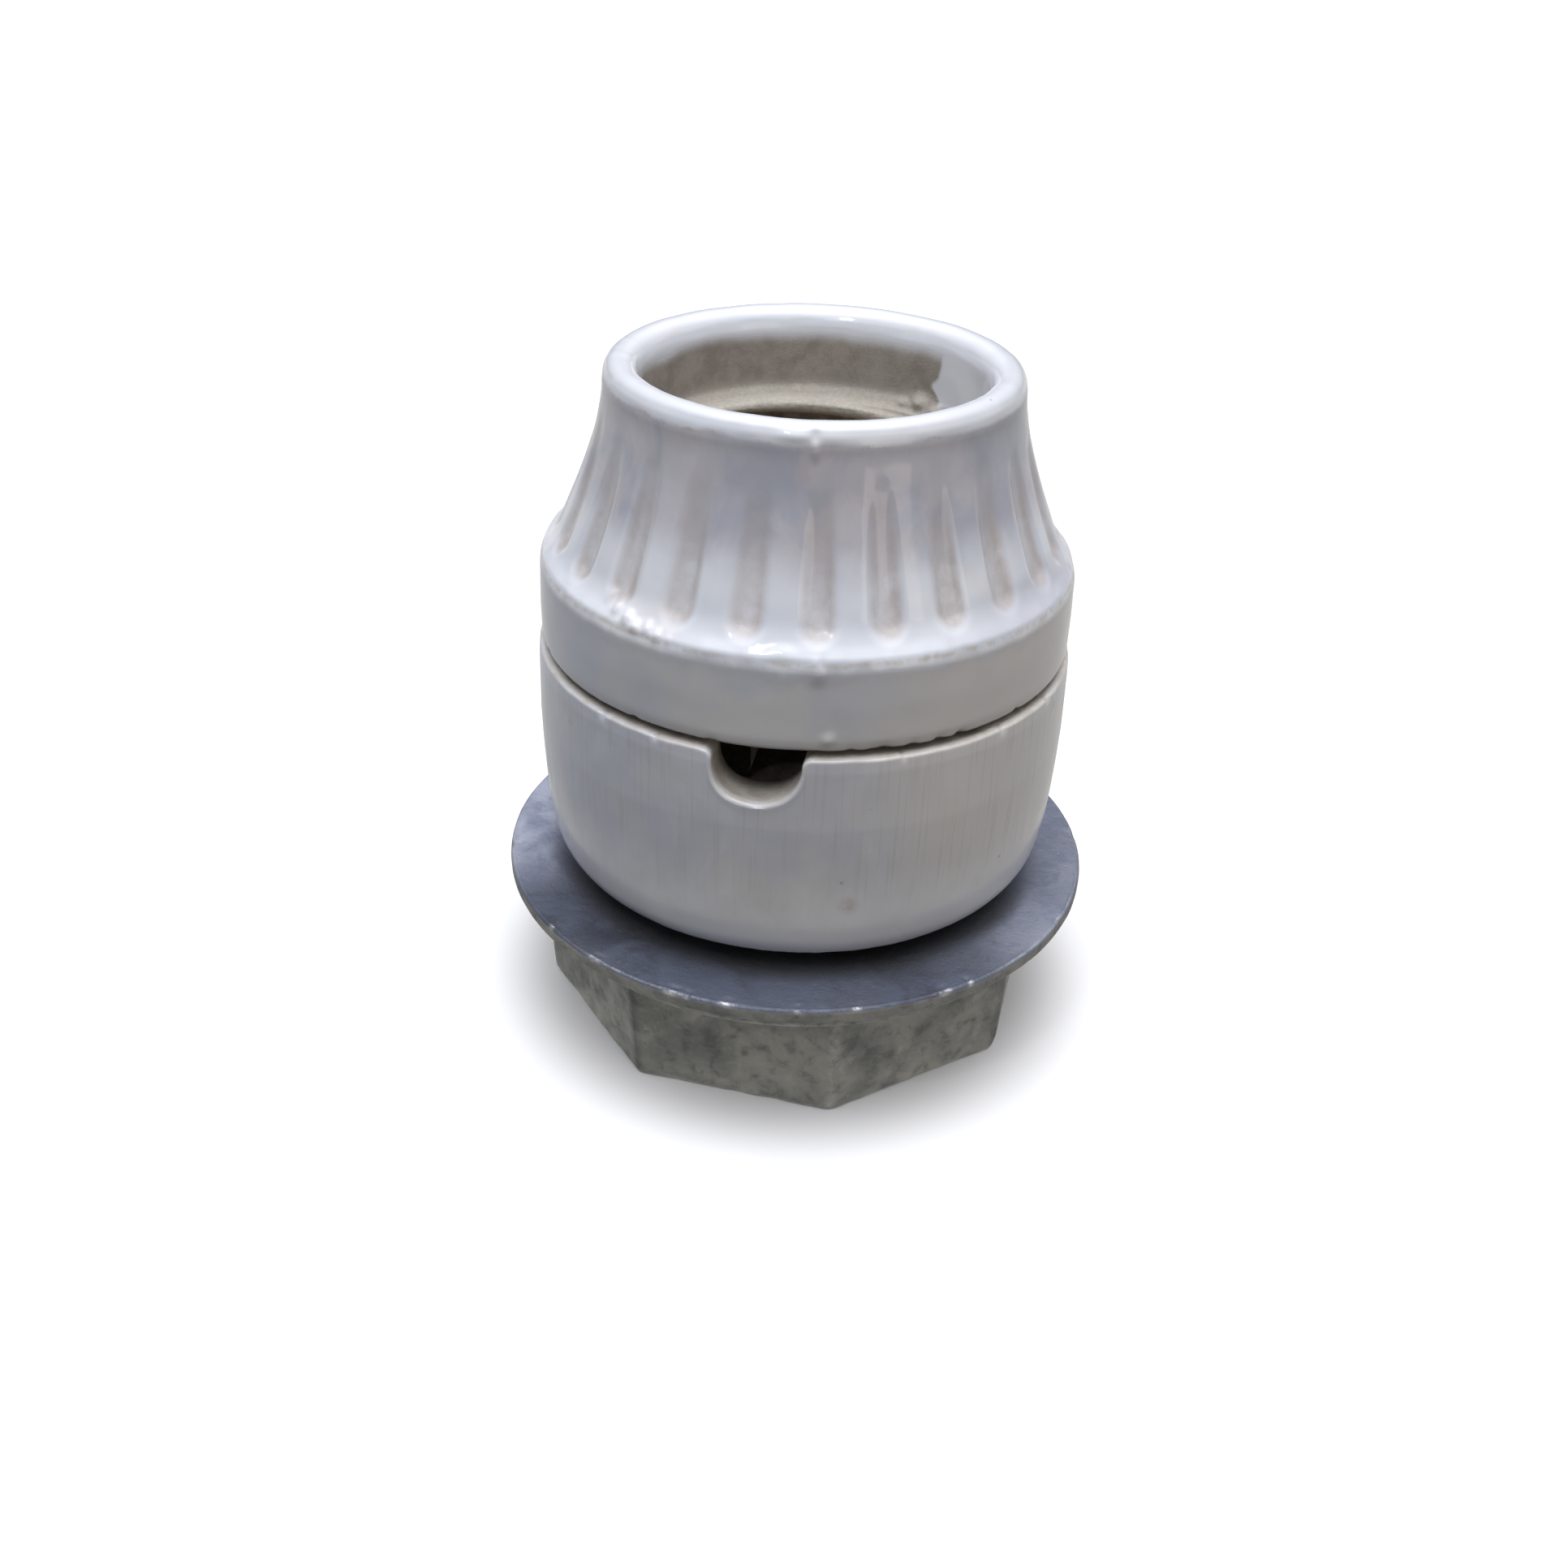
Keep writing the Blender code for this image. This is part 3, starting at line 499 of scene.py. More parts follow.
def zinc_material():
    t = Tree("cast_zinc")
    top, nicks_and_edge_highlight, deep_shade = t.attr("top"), t.attr("nicks_and_edge_highlight"), t.attr("deep_shade")
    m1 = t.noise(0.16, 4.0, 0.6, distort=0.6)
    m2 = t.noise(0.55, 5.0, 0.65, t.mapped((1, 1, 1), (5, 1, 2)), distort=0.4)
    m3 = t.noise(2.8, 5.0, 0.7)
    side = t.mix(t.ramp(m1, 0.36, 0.66), (0.236, 0.238, 0.222), (0.372, 0.366, 0.332))
    side = t.mix(t.ramp(m2, 0.50, 0.74, 0.0, 0.75), side, (0.155, 0.158, 0.160))
    side = t.mix(t.ramp(m2, 0.26, 0.42, 0.45, 0.0), side, (0.470, 0.462, 0.430))
    tcol = t.mix(t.ramp(m1, 0.34, 0.66), (0.265, 0.292, 0.390), (0.430, 0.455, 0.560))
    tcol = t.mix(t.ramp(m2, 0.48, 0.74, 0.0, 0.42), tcol, (0.155, 0.172, 0.232))
    tcol = t.mix(t.ramp(m2, 0.24, 0.42, 0.55, 0.0), tcol, (0.430, 0.450, 0.530))
    shade = t.attr("shade")
    tcol = t.mix(shade, tcol, t.mix(t.ramp(m1, 0.38, 0.64), (0.100, 0.114, 0.160), (0.040, 0.046, 0.066)))
    col = t.mix(top, side, tcol)
    col = t.mix(t.math('MULTIPLY', t.ramp(m3, 0.52, 0.78, 0.0, 0.35), t.lerp(top, 1.0, 0.35)), col, (0.12, 0.12, 0.125))
    # painted shade: under the flange, down its outer side, along three corners of the octagon and round the foot of the
    # body
    col = t.mix(t.math('MULTIPLY', deep_shade, 0.85), col, (0.075, 0.075, 0.075))
    # bare metal at the nicks, plus a painted highlight along the flange's top edge that is brighter at the front left
    nick_and_highlight_mix = t.math('MULTIPLY', nicks_and_edge_highlight, t.ramp(t.noise(1.7, 4.0, 0.7), 0.35, 0.62, 0.1, 1.0), clamp=True)
    col = t.mix(t.math('MULTIPLY', nick_and_highlight_mix, 0.78), col, (0.72, 0.72, 0.725))
    pits = t.ramp(t.voronoi(0.75), 0.05, 0.22, 0.0, 1.0)
    h = t.math('ADD', t.math('MULTIPLY', m3, 0.6), t.math('MULTIPLY', t.noise(7.0, 3.0, 0.7), 0.25))
    n1 = t.bump(h, 0.11, 0.85)
    n2 = t.bump(pits, 0.05, 0.5, n1)
    n3 = t.bump(m2, 0.22, 0.55, n2)
    rough = t.lerp(nick_and_highlight_mix, t.ramp(m2, 0.3, 0.7, 0.52, 0.68), 0.30)
    return t.set(color=col, rough=rough, metal=t.lerp(nick_and_highlight_mix, 0.55, 0.9), normal=n3)


def steatite_material():
    t = Tree("steatite")
    m1 = t.noise(0.2, 4.0, 0.6)
    m2 = t.noise(2.4, 5.0, 0.7)
    col = t.mix(t.ramp(m1, 0.35, 0.65), (0.610, 0.575, 0.500), (0.700, 0.670, 0.600))
    col = t.mix(t.ramp(m2, 0.5, 0.8, 0.0, 0.4), col, (0.47, 0.43, 0.36))
    x, y, z = t.xyz()
    # painted shade: the front of the insert behind the notch and below the channel floor is darkened almost to black
    cavity_shade = t.math('MULTIPLY', t.ramp(y, -12.5, -9.0, 1.0, 0.0), t.ramp(z, 37.4, 39.0, 1.0, 0.0))
    slot = t.math('MULTIPLY', t.ramp(y, -6.5, -4.5, 1.0, 0.0), t.ramp(z, 31.7, 32.25, 1.0, 0.0))
    cavity_shade = t.math('MAXIMUM', cavity_shade, slot)
    cavity_shade = t.math('MULTIPLY', cavity_shade, t.ramp(m2, 0.2, 0.7, 0.97, 0.88))
    col = t.mix(cavity_shade, col, (0.030, 0.026, 0.022))
    n = t.bump(t.math('ADD', t.math('MULTIPLY', m2, 0.7), t.math('MULTIPLY', t.noise(9.0, 2.0), 0.3)), 0.06, 0.7)
    return t.set(color=col, rough=t.ramp(m2, 0.3, 0.7, 0.55, 0.72), normal=n)


def fibre_material():
    t = Tree("dark_fibre")
    fib = t.noise(1.3, 5.0, 0.7, t.mapped((1.0, 4.0, 6.0)))
    col = t.mix(t.ramp(fib, 0.35, 0.7), (0.022, 0.020, 0.019), (0.060, 0.055, 0.050))
    return t.set(color=col, rough=t.ramp(fib, 0.3, 0.7, 0.78, 0.95), normal=t.bump(fib, 0.05, 0.7))


def rubber_material():
    t = Tree("seal_rubber")
    m = t.noise(1.1, 4.0, 0.6)
    g = t.noise(7.0, 3.0, 0.6)
    col = t.mix(t.ramp(m, 0.35, 0.7), (0.030, 0.030, 0.031), (0.055, 0.054, 0.053))
    return t.set(color=col, rough=t.ramp(m, 0.3, 0.7, 0.55, 0.75), normal=t.bump(g, 0.03, 0.6))


def metal_material(name, a, b, tarnish, rough0, rough1):
    t = Tree(name)
    m = t.noise(0.35, 4.0, 0.6)
    fine = t.noise(2.2, 4.0, 0.65)
    turn = t.noise(3.5, 2.0, 0.5, t.mapped((0.15, 0.15, 4.0)))
    col = t.mix(t.ramp(m, 0.35, 0.65), a, b)
    col = t.mix(t.ramp(fine, 0.48, 0.78, 0.0, 0.7), col, tarnish)
    x, y, z = t.xyz()
    # painted shade: the fronts of the metal parts inside the cavity are darkened almost to black and made dull
    cavity_shade = t.math('MULTIPLY', t.ramp(y, -7.0, -3.0, 1.0, 0.0), t.ramp(z, 37.2, 38.6, 1.0, 0.0))
    col = t.mix(t.math('MULTIPLY', cavity_shade, 0.93), col, (0.020, 0.017, 0.014))
    n = t.bump(t.math('ADD', t.math('MULTIPLY', turn, 0.5), t.math('MULTIPLY', fine, 0.5)), 0.02, 0.6)
    rough = t.lerp(cavity_shade, t.ramp(fine, 0.3, 0.75, rough0, rough1), 0.95)
    return t.set(color=col, rough=rough, metal=t.math('SUBTRACT', 1.0, cavity_shade), normal=n)


MAT_CAP = glazed_cap_material()
MAT_BODY = satin_body_material()
MAT_ZINC = zinc_material()
MAT_STEATITE = steatite_material()
MAT_FIBRE = fibre_material()
MAT_RUBBER = rubber_material()
MAT_BRASS = metal_material("brass", (0.66, 0.50, 0.24), (0.76, 0.60, 0.32), (0.36, 0.25, 0.12), 0.28, 0.50)
MAT_BRONZE = metal_material("spring_bronze", (0.62, 0.40, 0.22), (0.72, 0.50, 0.30), (0.30, 0.17, 0.09), 0.30, 0.50)
MAT_STEEL = metal_material("plated_steel", (0.56, 0.56, 0.55), (0.66, 0.66, 0.67), (0.32, 0.30, 0.27), 0.28, 0.48)


# ----------------------------------------------------------------------- shared sizes
FIX_R, FIX_DEG, CLEAR_R = 10.5, 50.0, 2.3
FIX = [(FIX_R * math.cos(math.radians(a)), FIX_R * math.sin(math.radians(a)))
       for a in (FIX_DEG, FIX_DEG + 180.0)]


def helix_height(theta_deg, z, zero_z, zero_deg, pitch, deg0, deg1, w_wall, w_crest, run_out):
    """How far (0..1) a right-hand ridge stands out of its wall at (theta, z)."""
    best = np.zeros(np.broadcast(theta_deg, z).shape)
    lo = int(math.floor((deg0 - 180.0) / 360.0)) - 1
    hi = int(math.ceil((deg1 + 180.0) / 360.0)) + 1
    for k in range(lo, hi + 1):
        th = theta_deg + 360.0 * k
        zc = zero_z + pitch * (th - zero_deg) / 360.0
        d = np.abs(z - zc)
        sec = 1.0 - smooth01(d, 0.5 * w_crest, 0.5 * w_wall)
        inside = np.clip(np.minimum((th - deg0) / run_out, (deg1 - th) / run_out), 0.0, 1.0)
        inside = np.sin(0.5 * math.pi * inside)
        best = np.maximum(best, sec * inside)
    return best


# ------------------------------------------------------------------------------- cap
FLUTE_DEG = 10.0
END_LUMPS = ((55.0, 54.75, 4.2, 0.55, 0.85), (47.5, 54.5, 2.4, 0.35, 0.45), (62.5, 54.4, 2.6, 0.32, 0.38),
             (98.0, 54.2, 2.0, 0.30, 0.30), (104.0, 54.3, 1.6, 0.28, 0.26), (120.0, 54.2, 2.2, 0.30, 0.28))


def build_cap():
    n_col = 24 * 22
    deg = FLUTE_DEG + 360.0 * np.arange(n_col) / n_col
    top = profile([
        (14.65, 56.0), (14.66, 60.0, 0.5, 0.18), (14.90, 60.85, 0.4, 0.14), (15.40, 61.42, 0.35, 0.14),
        (16.05, 61.70, 0.35, 0.14), (16.75, 61.70, 0.35, 0.12), (17.30, 61.38, 0.26, 0.10),
        (17.64, 60.82, 0.26, 0.10), (17.80, 60.1, 0.4, 0.2), (17.82, 59.2), (17.98, 58.0), (18.45, 55.75), (19.22, 53.2),
        (20.15, 50.7), (21.2, 48.2), (21.75, 47.0), (22.42, 46.0, 0.4, 0.2), (23.22, 45.12, 0.22, 0.10),
        (23.52, 44.2, 0.30, 0.14), (23.6, 41.0, 0.5), (23.6, 38.0, 0.4, 0.2), (23.45, 37.25, 0.3, 0.12),
        (22.95, 36.95, 0.25, 0.12), (19.6, 36.9, 0.2, 0.12), (19.32, 37.2, 0.15, 0.12), (19.3, 43.1, 0.2, 0.15),
        (19.1, 43.4, 0.15, 0.15), (14.5, 43.4, 0.3, 0.2), (13.5, 44.2, 0.3, 0.16), (13.45, 44.6, 0.1, 0.16),
        (13.45, 53.6, 0.25, 0.16), (14.6, 54.7, 0.25, 0.16), (14.65, 55.2, 0.1, 0.2)], 0.24, closed=True)
    r0, z0 = top[:, 0], top[:, 1]
    m = len(r0)
    seg = np.linalg.norm(np.roll(top, -1, axis=0) - top, axis=1)
    # outward normals of the outline (section runs up the mouth, over the rim and down outside)
    tan = np.roll(top, -1, axis=0) - np.roll(top, 1, axis=0)
    tan /= np.linalg.norm(tan, axis=1)[:, None]
    nr, nz = -tan[:, 1], tan[:, 0]
    k = int(np.argmin(np.abs(r0 - 23.6) + np.abs(z0 - 41.0)))
    if nr[k] < 0:
        nr, nz = -nr, -nz
    R = np.repeat(r0[:, None], n_col, 1)
    Z = np.repeat(z0[:, None], n_col, 1)
    D = np.repeat(deg[None, :], m, 0)
    NR, NZ = nr[:, None], nz[:, None]
    idx = np.arange(m)
    i_skirt_bottom = int(np.argmin(np.abs(r0 - 19.6) + np.abs(z0 - 36.9)))
    i_rim_in = int(np.argmin(np.abs(r0 - 14.66) + np.abs(z0 - 60.0)))
    outer = (idx <= i_skirt_bottom) & ~((r0 < 14.8) & (z0 < 60.1))
    outer_col = outer[:, None]
    A = np.radians(D)
    cx, sy = np.cos(A), np.sin(A)

    # flutes: capsule shaped grooves in the unrolled surface
    off = (D - FLUTE_DEG + 7.5) % 15.0 - 7.5
    kf = np.round((D - FLUTE_DEG - off) / 15.0).astype(int) % 24
    jit = np.array([0.5 + 0.5 * math.sin(12.9898 * q + 4.1) for q in range(24)])
    jit2 = np.array([math.sin(7.233 * q + 1.3) for q in range(24)])
    off = off + 0.35 * jit2[kf]
    arc = off * math.pi / 180.0 * R
    z_low = 47.35 + 0.35 * (jit[kf] - 0.5)
    z_up = 57.0 + 1.0 * (jit2[kf])
    half = 1.55 + 0.10 * (jit[kf] - 0.5) - 0.055 * np.clip(Z - 48.0, 0, 12)
    below = np.clip(z_low - Z, 0, None) * 1.15
    dist = np.sqrt(arc ** 2 + below ** 2) / half
    depth_z = np.interp(Z, [45.0, 46.0, 47.0, 48.2, 50.7, 53.2, 55.3, 57.2, 59.0],
                        [0.22, 0.30, 0.40, 0.50, 0.50, 0.36, 0.22, 0.10, 0.0])
    depth_z = depth_z * (1.0 - smooth01(Z, z_up - 1.0, z_up + 1.6)) * (0.92 + 0.16 * jit[kf])
    shape = 1.0 - smooth01(dist, 0.22, 1.26)
    groove = shape * depth_z
    groove = np.where(outer_col & (Z > 44.6) & (Z < 60.0) & (R > 17.0), groove, 0.0)
    R = R - groove * 0.90
    Z = Z - groove * 0.28
    # lands swell a little between the flutes
    land = np.clip(1.0 - shape, 0, 1) * smooth01(Z, 46.2, 48.5) * (1.0 - smooth01(Z, 53.0, 57.0))
    R = R + np.where(outer_col & (R > 17.0), 0.06 * land, 0.0)

    # slight unevenness of a hand finished, thickly glazed piece
    lowf = fbm(2.2 * cx, 2.2 * sy, z0[:, None] * 0.09, 3, 2)
    midf = fbm(7.0 * cx, 7.0 * sy, z0[:, None] * 0.30, 11, 2)
    amp = np.where(outer, 1.0, 0.35)[:, None]
    d = amp * (0.050 * lowf + 0.028 * midf)
    # rim: glaze pools unevenly, with a nick and a short run at the front
    rim = smooth01(Z, 59.6, 61.0) * np.where(R > 14.9, 1.0, 0.0)
    d = d + rim * (0.05 * fbm(5.0 * cx, 5.0 * sy, 0.5, 41, 3))
    R = R + NR * d
    Z = Z + NZ * d
    edge_rim = bumpf(Z - 60.9, 0.8) * np.where(R > 17.0, 1.0, 0.0)
    R = R + edge_rim * (0.045 * fbm(14.0 * cx, 14.0 * sy, 0.3, 43, 2)
                        + 0.10 * bumpf(wrap_deg(D + 87.0), 6.5))
    R = R - edge_rim * 0.16 * bumpf(wrap_deg(D + 81.9), 1.3)
    # a bead of glaze below the nick
    bead = bumpf(wrap_deg(D + 81.6), 1.6) * bumpf(Z - 59.7, 1.1) * outer_col
    R = R + 0.14 * bead * (R > 17.0)
    # shoulder edge: wavy, chipped, with a run of glaze at the front
    sh = bumpf(Z - 45.0, 1.0) * (R > 22.0)
    R = R + sh * (0.060 * fbm(9.0 * cx, 9.0 * sy, 0.2, 51, 3) + 0.050 * fbm(34.0 * cx, 34.0 * sy, 0.2, 52, 2))
    Z = Z + sh * 0.05 * fbm(20.0 * cx, 20.0 * sy, 0.9, 53, 3)
    drip = bumpf(wrap_deg(D + 79.6), 2.3) * bumpf(Z - 44.1, 1.5) * (R > 22.5)
    R = R + 0.17 * drip
    R = R - 0.16 * bumpf(wrap_deg(D + 79.0), 0.75) * bumpf(Z - 44.9, 0.8) * (R > 22.5)
    # lumps of glaze on the left of the shoulder
    for a_l, z_l, w_l, h_l in ((-120.6, 45.6, 2.0, 0.34), (-118.0, 45.2, 1.5, 0.30), (-115.2, 45.4, 1.3, 0.26),
                               (-124.2, 45.9, 1.5, 0.28), (-112.6, 45.1, 1.2, 0.22), (-127.5, 46.4, 1.2, 0.20),
                               (-110.0, 45.0, 0.9, 0.16), (-86.4, 45.45, 4.2, 0.08)):
        g = bumpf(wrap_deg(D - a_l), w_l) * bumpf(Z - z_l, 0.75) * (R > 21.5)
        R = R + 0.7 * h_l * g
        Z = Z + 0.7 * h_l * g
    # small bump low on the skirt
    g = np.exp(-(wrap_deg(D + 77.2) / 1.1) ** 2 - ((Z - 38.3) / 0.55) ** 2) * (R > 23.0)
    R = R + 0.22 * g
    # skirt's lower edge: uneven, with chips
    low = (1.0 - smooth01(Z, 36.9, 38.1)) * (R > 22.0)
    chip = 0.0
    for a_c, w_c, h_c in ((-66.5, 3.4, 0.30), (-60.0, 2.0, 0.20), (-54.0, 2.6, 0.26), (-49.0, 2.1, 0.34),
                          (-72.5, 1.8, 0.16), (-100.0, 2.2, 0.12), (-118.0, 1.6, 0.15), (-33.0, 1.7, 0.18),
                          (20.0, 2.5, 0.2), (64.0, 2.2, 0.22), (141.0, 3.0, 0.2), (-152.0, 2.0, 0.2)):
        chip = np.maximum(chip, h_c * bumpf(wrap_deg(D - a_c), w_c))
    chip = chip * (0.7 + 0.5 * fbm(60.0 * cx, 60.0 * sy, Z, 61, 2))
    wav = 0.055 + 0.055 * fbm(12.0 * cx, 12.0 * sy, 0.4, 62, 3)
    Z = Z + low * (np.clip(wav, 0.0, 0.14) + 0.8 * np.clip(chip, 0, 0.4))
    R = R - low * 0.9 * np.clip(chip, 0, 0.4) * (R > 23.0)

    # lamp thread inside the mouth and the coarse thread inside the skirt
    wall = (np.abs(r0 - 13.45) < 0.35) & (z0 > 43.9) & (z0 < 54.6)
    zz = Z
    hgt = helix_height(D, zz, 45.4, -683.0, 3.63, -683.0, 163.0, 2.15, 0.55, 26.0)
    crumb = 0.10 * fbm(26.0 * cx, 26.0 * sy, Z * 2.0, 71, 3)
    lamp = np.where(wall[:, None], hgt, 0.0)
    R = R - lamp * (1.15 + 0.5 * crumb)
    # rough start of the ridge
    st = np.exp(-(wrap_deg(D - 150.0) / 7.0) ** 2) * np.where(wall[:, None], 1.0, 0.0) * lamp
    R = R - 0.12 * st * fbm(50.0 * cx, 50.0 * sy, Z * 3.0, 72, 2)
    sk = (np.abs(r0 - 19.3) < 0.08) & (z0 > 37.2) & (z0 < 43.2)
    h2 = helix_height(D, Z, 38.2, 216.0, 3.0, 216.0, 648.0, 1.75, 0.5, 36.0)
    h2 = np.where(sk[:, None], h2, 0.0)
    R = R - h2 * 1.42
    # the upper ridge ends in a lump with crumbs beside it
    for a_k, z_k, w_a, w_z, h_k in END_LUMPS:
        g = np.exp(-(wrap_deg(D - a_k) / w_a) ** 2 - ((Z - z_k) / w_z) ** 2) * ((R < 15.0) & (Z > 52.5) & (Z < 58.0))
        R = R - h_k * g
    # bottom must stay clear of the body
    Z = np.maximum(Z, 36.9)

    X, Y = R * cx, R * sy
    ob = loop_grid("cap_shell", X, Y, Z, MAT_CAP)

    # masks
    shape_c = 1.0 - smooth01(dist, 0.55, 1.12)
    right_e = smooth01(arc / half, 0.10, 0.75) * shape_c
    low_e = (1.0 - smooth01(Z, 46.4, 48.6)) * shape_c
    fl = shape_c * (0.64 + 0.10 * jit2[kf]) + 0.30 * right_e + 0.32 * low_e
    fl = np.where(outer_col, fl * (1.0 - 0.95 * smooth01(Z, 51.5, 57.4)), 0.0)
    fl = np.clip(fl, 0, 1) * smooth01(depth_z, 0.02, 0.10) * np.where((Z > 44.4) & (Z < 60), 1, 0) * (R > 17.0)
    # colour gathers towards the right edge and the lower end of each flute
    thin = sh * 0.9 + 0.55 * np.where(R > 22.0, 1.0 - smooth01(Z, 36.95, 37.5), 0.0)
    thin = thin * np.where(outer_col, 1.0, 0.0)
    wav_s = 0.16 * fbm(11.0 * cx, 11.0 * sy, 0.7, 91, 3)
    thin = np.clip(bumpf(Z + wav_s - 44.70, 0.34) * (R > 22.8) * 0.9 + 0.6 * (R > 22.5) * (1.0 - smooth01(Z, 36.95, 37.45)), 0, 1)
    glaze_line = 59.5 + 0.5 * fbm(3.0 * cx, 3.0 * sy, 0.1, 81, 3)
    inner = np.where(outer_col, 0.0, 1.0)
    bare = np.where((R < 15.4) & (Z > 43.0), 1.0 - smooth01(Z, glaze_line - 1.0, glaze_line + 0.45), 0.0)
    # glaze ran down the right of the mouth
    pe = 1.6 * fbm(0.0, 0.0, Z * 0.7, 83, 2) - 3.5 * bumpf(Z - 56.3, 1.2)
    patch = smooth01(wrap_deg(D - 5.0), -62.0, -58.0) * (1.0 - smooth01(wrap_deg(D - 5.0) + pe, 41.8, 43.6))
    patch = patch * smooth01(Z, 54.6, 55.3)
    bare = bare * (1.0 - patch)
    bare = np.maximum(bare, np.where((R < 22.6) & (Z < 43.6) & (R > 14.0), 1.0, 0.0))
    bare = np.maximum(bare, np.where((Z < 37.05) & (R < 22.9), 1.0, 0.0))
    cream = np.where((R < 15.2) & (Z > 53.2), 0.75 * (1.0 - smooth01(Z, 54.5, 56.0)), 0.0)
    cream = np.maximum(cream, smooth01(lamp, 0.45, 0.95))
    # painted shade in the roots of the lamp thread, between the ridges
    dark = np.where(wall[:, None] & (Z < 53.75), 1.0 - smooth01(lamp, 0.25, 0.75), 0.0)
    dark = np.maximum(dark * (0.75 + 0.4 * fbm(20.0 * cx, 20.0 * sy, Z, 85, 3)), 0.0)
    mask(ob, "dark", dark.ravel())
    mask(ob, "flute", fl.ravel())
    mask(ob, "thin", thin.ravel())
    mask(ob, "bare", bare.ravel())
    mask(ob, "cream", cream.ravel())
    return ob


# ------------------------------------------------------------------------------ body
BODY_OUT = [(15.65, 20.5), (16.35, 22.0), (17.7, 22.95), (19.6, 23.4), (23.7, 23.78), (27.0, 23.93),
            (30.0, 24.0), (35.4, 23.93), (36.25, 23.85), (36.6, 23.8)]


def build_body():
    z_top, seat_r, half_w, z_bot = 36.6, 20.0, 3.65, 32.25
    mid = -90.0 - math.degrees(0.35 / 23.86)       # direction of the notch
    r_e = 23.86
    # --- the top edge as a curve (arc position, height) in the unrolled outer surface
    win = 42.0                                     # degrees each side of the notch that share columns
    a_win = math.radians(win) * r_e
    a_c = r_e * math.asin(half_w / r_e)            # arc position of the notch's side
    rc = 0.85                                      # rounding of the notch's upper corners
    fine = []
    n_fine = 4000
    fine += [(-a_win + (a_win - a_c - rc) * t, z_top) for t in np.linspace(0, 1, n_fine)]
    fine += [(-a_c - rc + rc * math.sin(t), z_top - rc + rc * math.cos(t)) for t in np.linspace(0, 0.5 * math.pi, 600)[1:]]
    # the bottom is a rounded U, squarer on the left than on the right
    def to_arc(x):
        return r_e * math.asin(x / r_e)
    start = z_top - rc
    high = start - z_bot

    def half_u(power):
        pts = []
        for t in np.linspace(0, 0.5 * math.pi, 1500)[1:]:
            pts.append((to_arc(-half_w * max(math.cos(t), 0.0) ** (2.0 / power)), start - high * math.sin(t) ** (2.0 / power)))
        return pts
    left = np.array(fine + half_u(2.5))
    right = np.array(fine + half_u(2.05))[::-1].copy()
    right[:, 0] *= -1
    curve = np.vstack([left, right[1:]])
    seg = np.linalg.norm(np.diff(curve, axis=0), axis=1)
    s = np.concatenate([[0], np.cumsum(seg)])
    n_win = 240
    n_rest = 420
    su = np.linspace(0, s[-1], n_win + 1)
    ca = np.interp(su, s, curve[:, 0])
    cz = np.interp(su, s, curve[:, 1])
    # edge normal, pointing down into the wall
    da = np.gradient(ca, su); dz = np.gradient(cz, su)
    ln = np.hypot(da, dz)
    na, nzn = dz / ln, -da / ln
    # columns over the rest of the ring
    rest = mid + win + (360.0 - 2 * win) * (np.arange(1, n_rest)) / n_rest
    deg_w = mid + np.degrees(ca / r_e)
    top_deg = np.concatenate([deg_w, rest])
    top_z = np.concatenate([cz, np.full(n_rest - 1, z_top)])
    n_a = np.concatenate([na, np.zeros(n_rest - 1)])
    n_z = np.concatenate([nzn, -np.ones(n_rest - 1)])
    bot_deg = np.concatenate([np.linspace(mid - win, mid + win, n_win + 1), rest])
    n_col = len(top_deg)
    dist_notch = np.abs(wrap_deg(top_deg - mid)) * math.pi / 180 * r_e
    w_notch = 1.0 - smooth01(dist_notch, a_c + 0.9, a_c + 5.5)

    rows_deg, rows_r, rows_z, tags = [], [], [], []

    def r_out(z):
        zs = [p[0] for p in BODY_OUT]
        rs = [p[1] for p in BODY_OUT]
        return np.interp(z, zs, rs)

    def add(dg, r, z, tag):
        rows_deg.append(np.broadcast_to(dg, (n_col,)).astype(float))
        rows_r.append(np.broadcast_to(r, (n_col,)).astype(float))
        rows_z.append(np.broadcast_to(z, (n_col,)).astype(float))
        tags.append(tag)

    low = profile([(5.0, 15.65, 0.1), (20.5, 15.65, 0.9, 0.14), (22.0, 16.35, 0.7, 0.2), (22.95, 17.7, 0.8, 0.2),
                   (23.4, 19.6), (23.68, 22.0), (23.85, 24.6), (23.93, 27.0)], 0.5)
    # underside and lower wall, up to z = 27
    add(bot_deg, 5.0, 15.95, 0)
    add(bot_deg, 5.1, 15.72, 0)
    for r, z in low:
        if r > 5.3:
            add(bot_deg, r, z, 1)
    # wall between z = 27 and the offset of the edge curve
    e = 0.32
    off_a = np.radians(top_deg - mid) * r_e + n_a * e
    off_deg = mid + np.degrees(off_a / r_e)
    off_deg = np.where(np.abs(n_a) < 1e-6, top_deg, off_deg)
    off_z = top_z + n_z * e
    n_up = 44
    for k in range(1, n_up + 1):
        t = k / n_up
        tt = t * t * (3 - 2 * t) * 0.35 + t * 0.65
        dg = bot_deg + (off_deg - bot_deg) * tt
        z = 27.0 + (off_z - 27.0) * t
        add(dg, r_out(z), z, 2)
    # rounded outer edge: from the offset curve over to the top face
    x_c = r_e * np.sin(np.radians(top_deg - mid))

    def inward(r):
        planar = np.degrees(np.arcsin(np.clip(x_c / r, -0.999, 0.999))) + mid
        return planar * w_notch + top_deg * (1 - w_notch)
    lipr = 0.26 + 0.0 * top_z
    n_rd = 7
    for k in range(1, n_rd + 1):
        t = k / n_rd
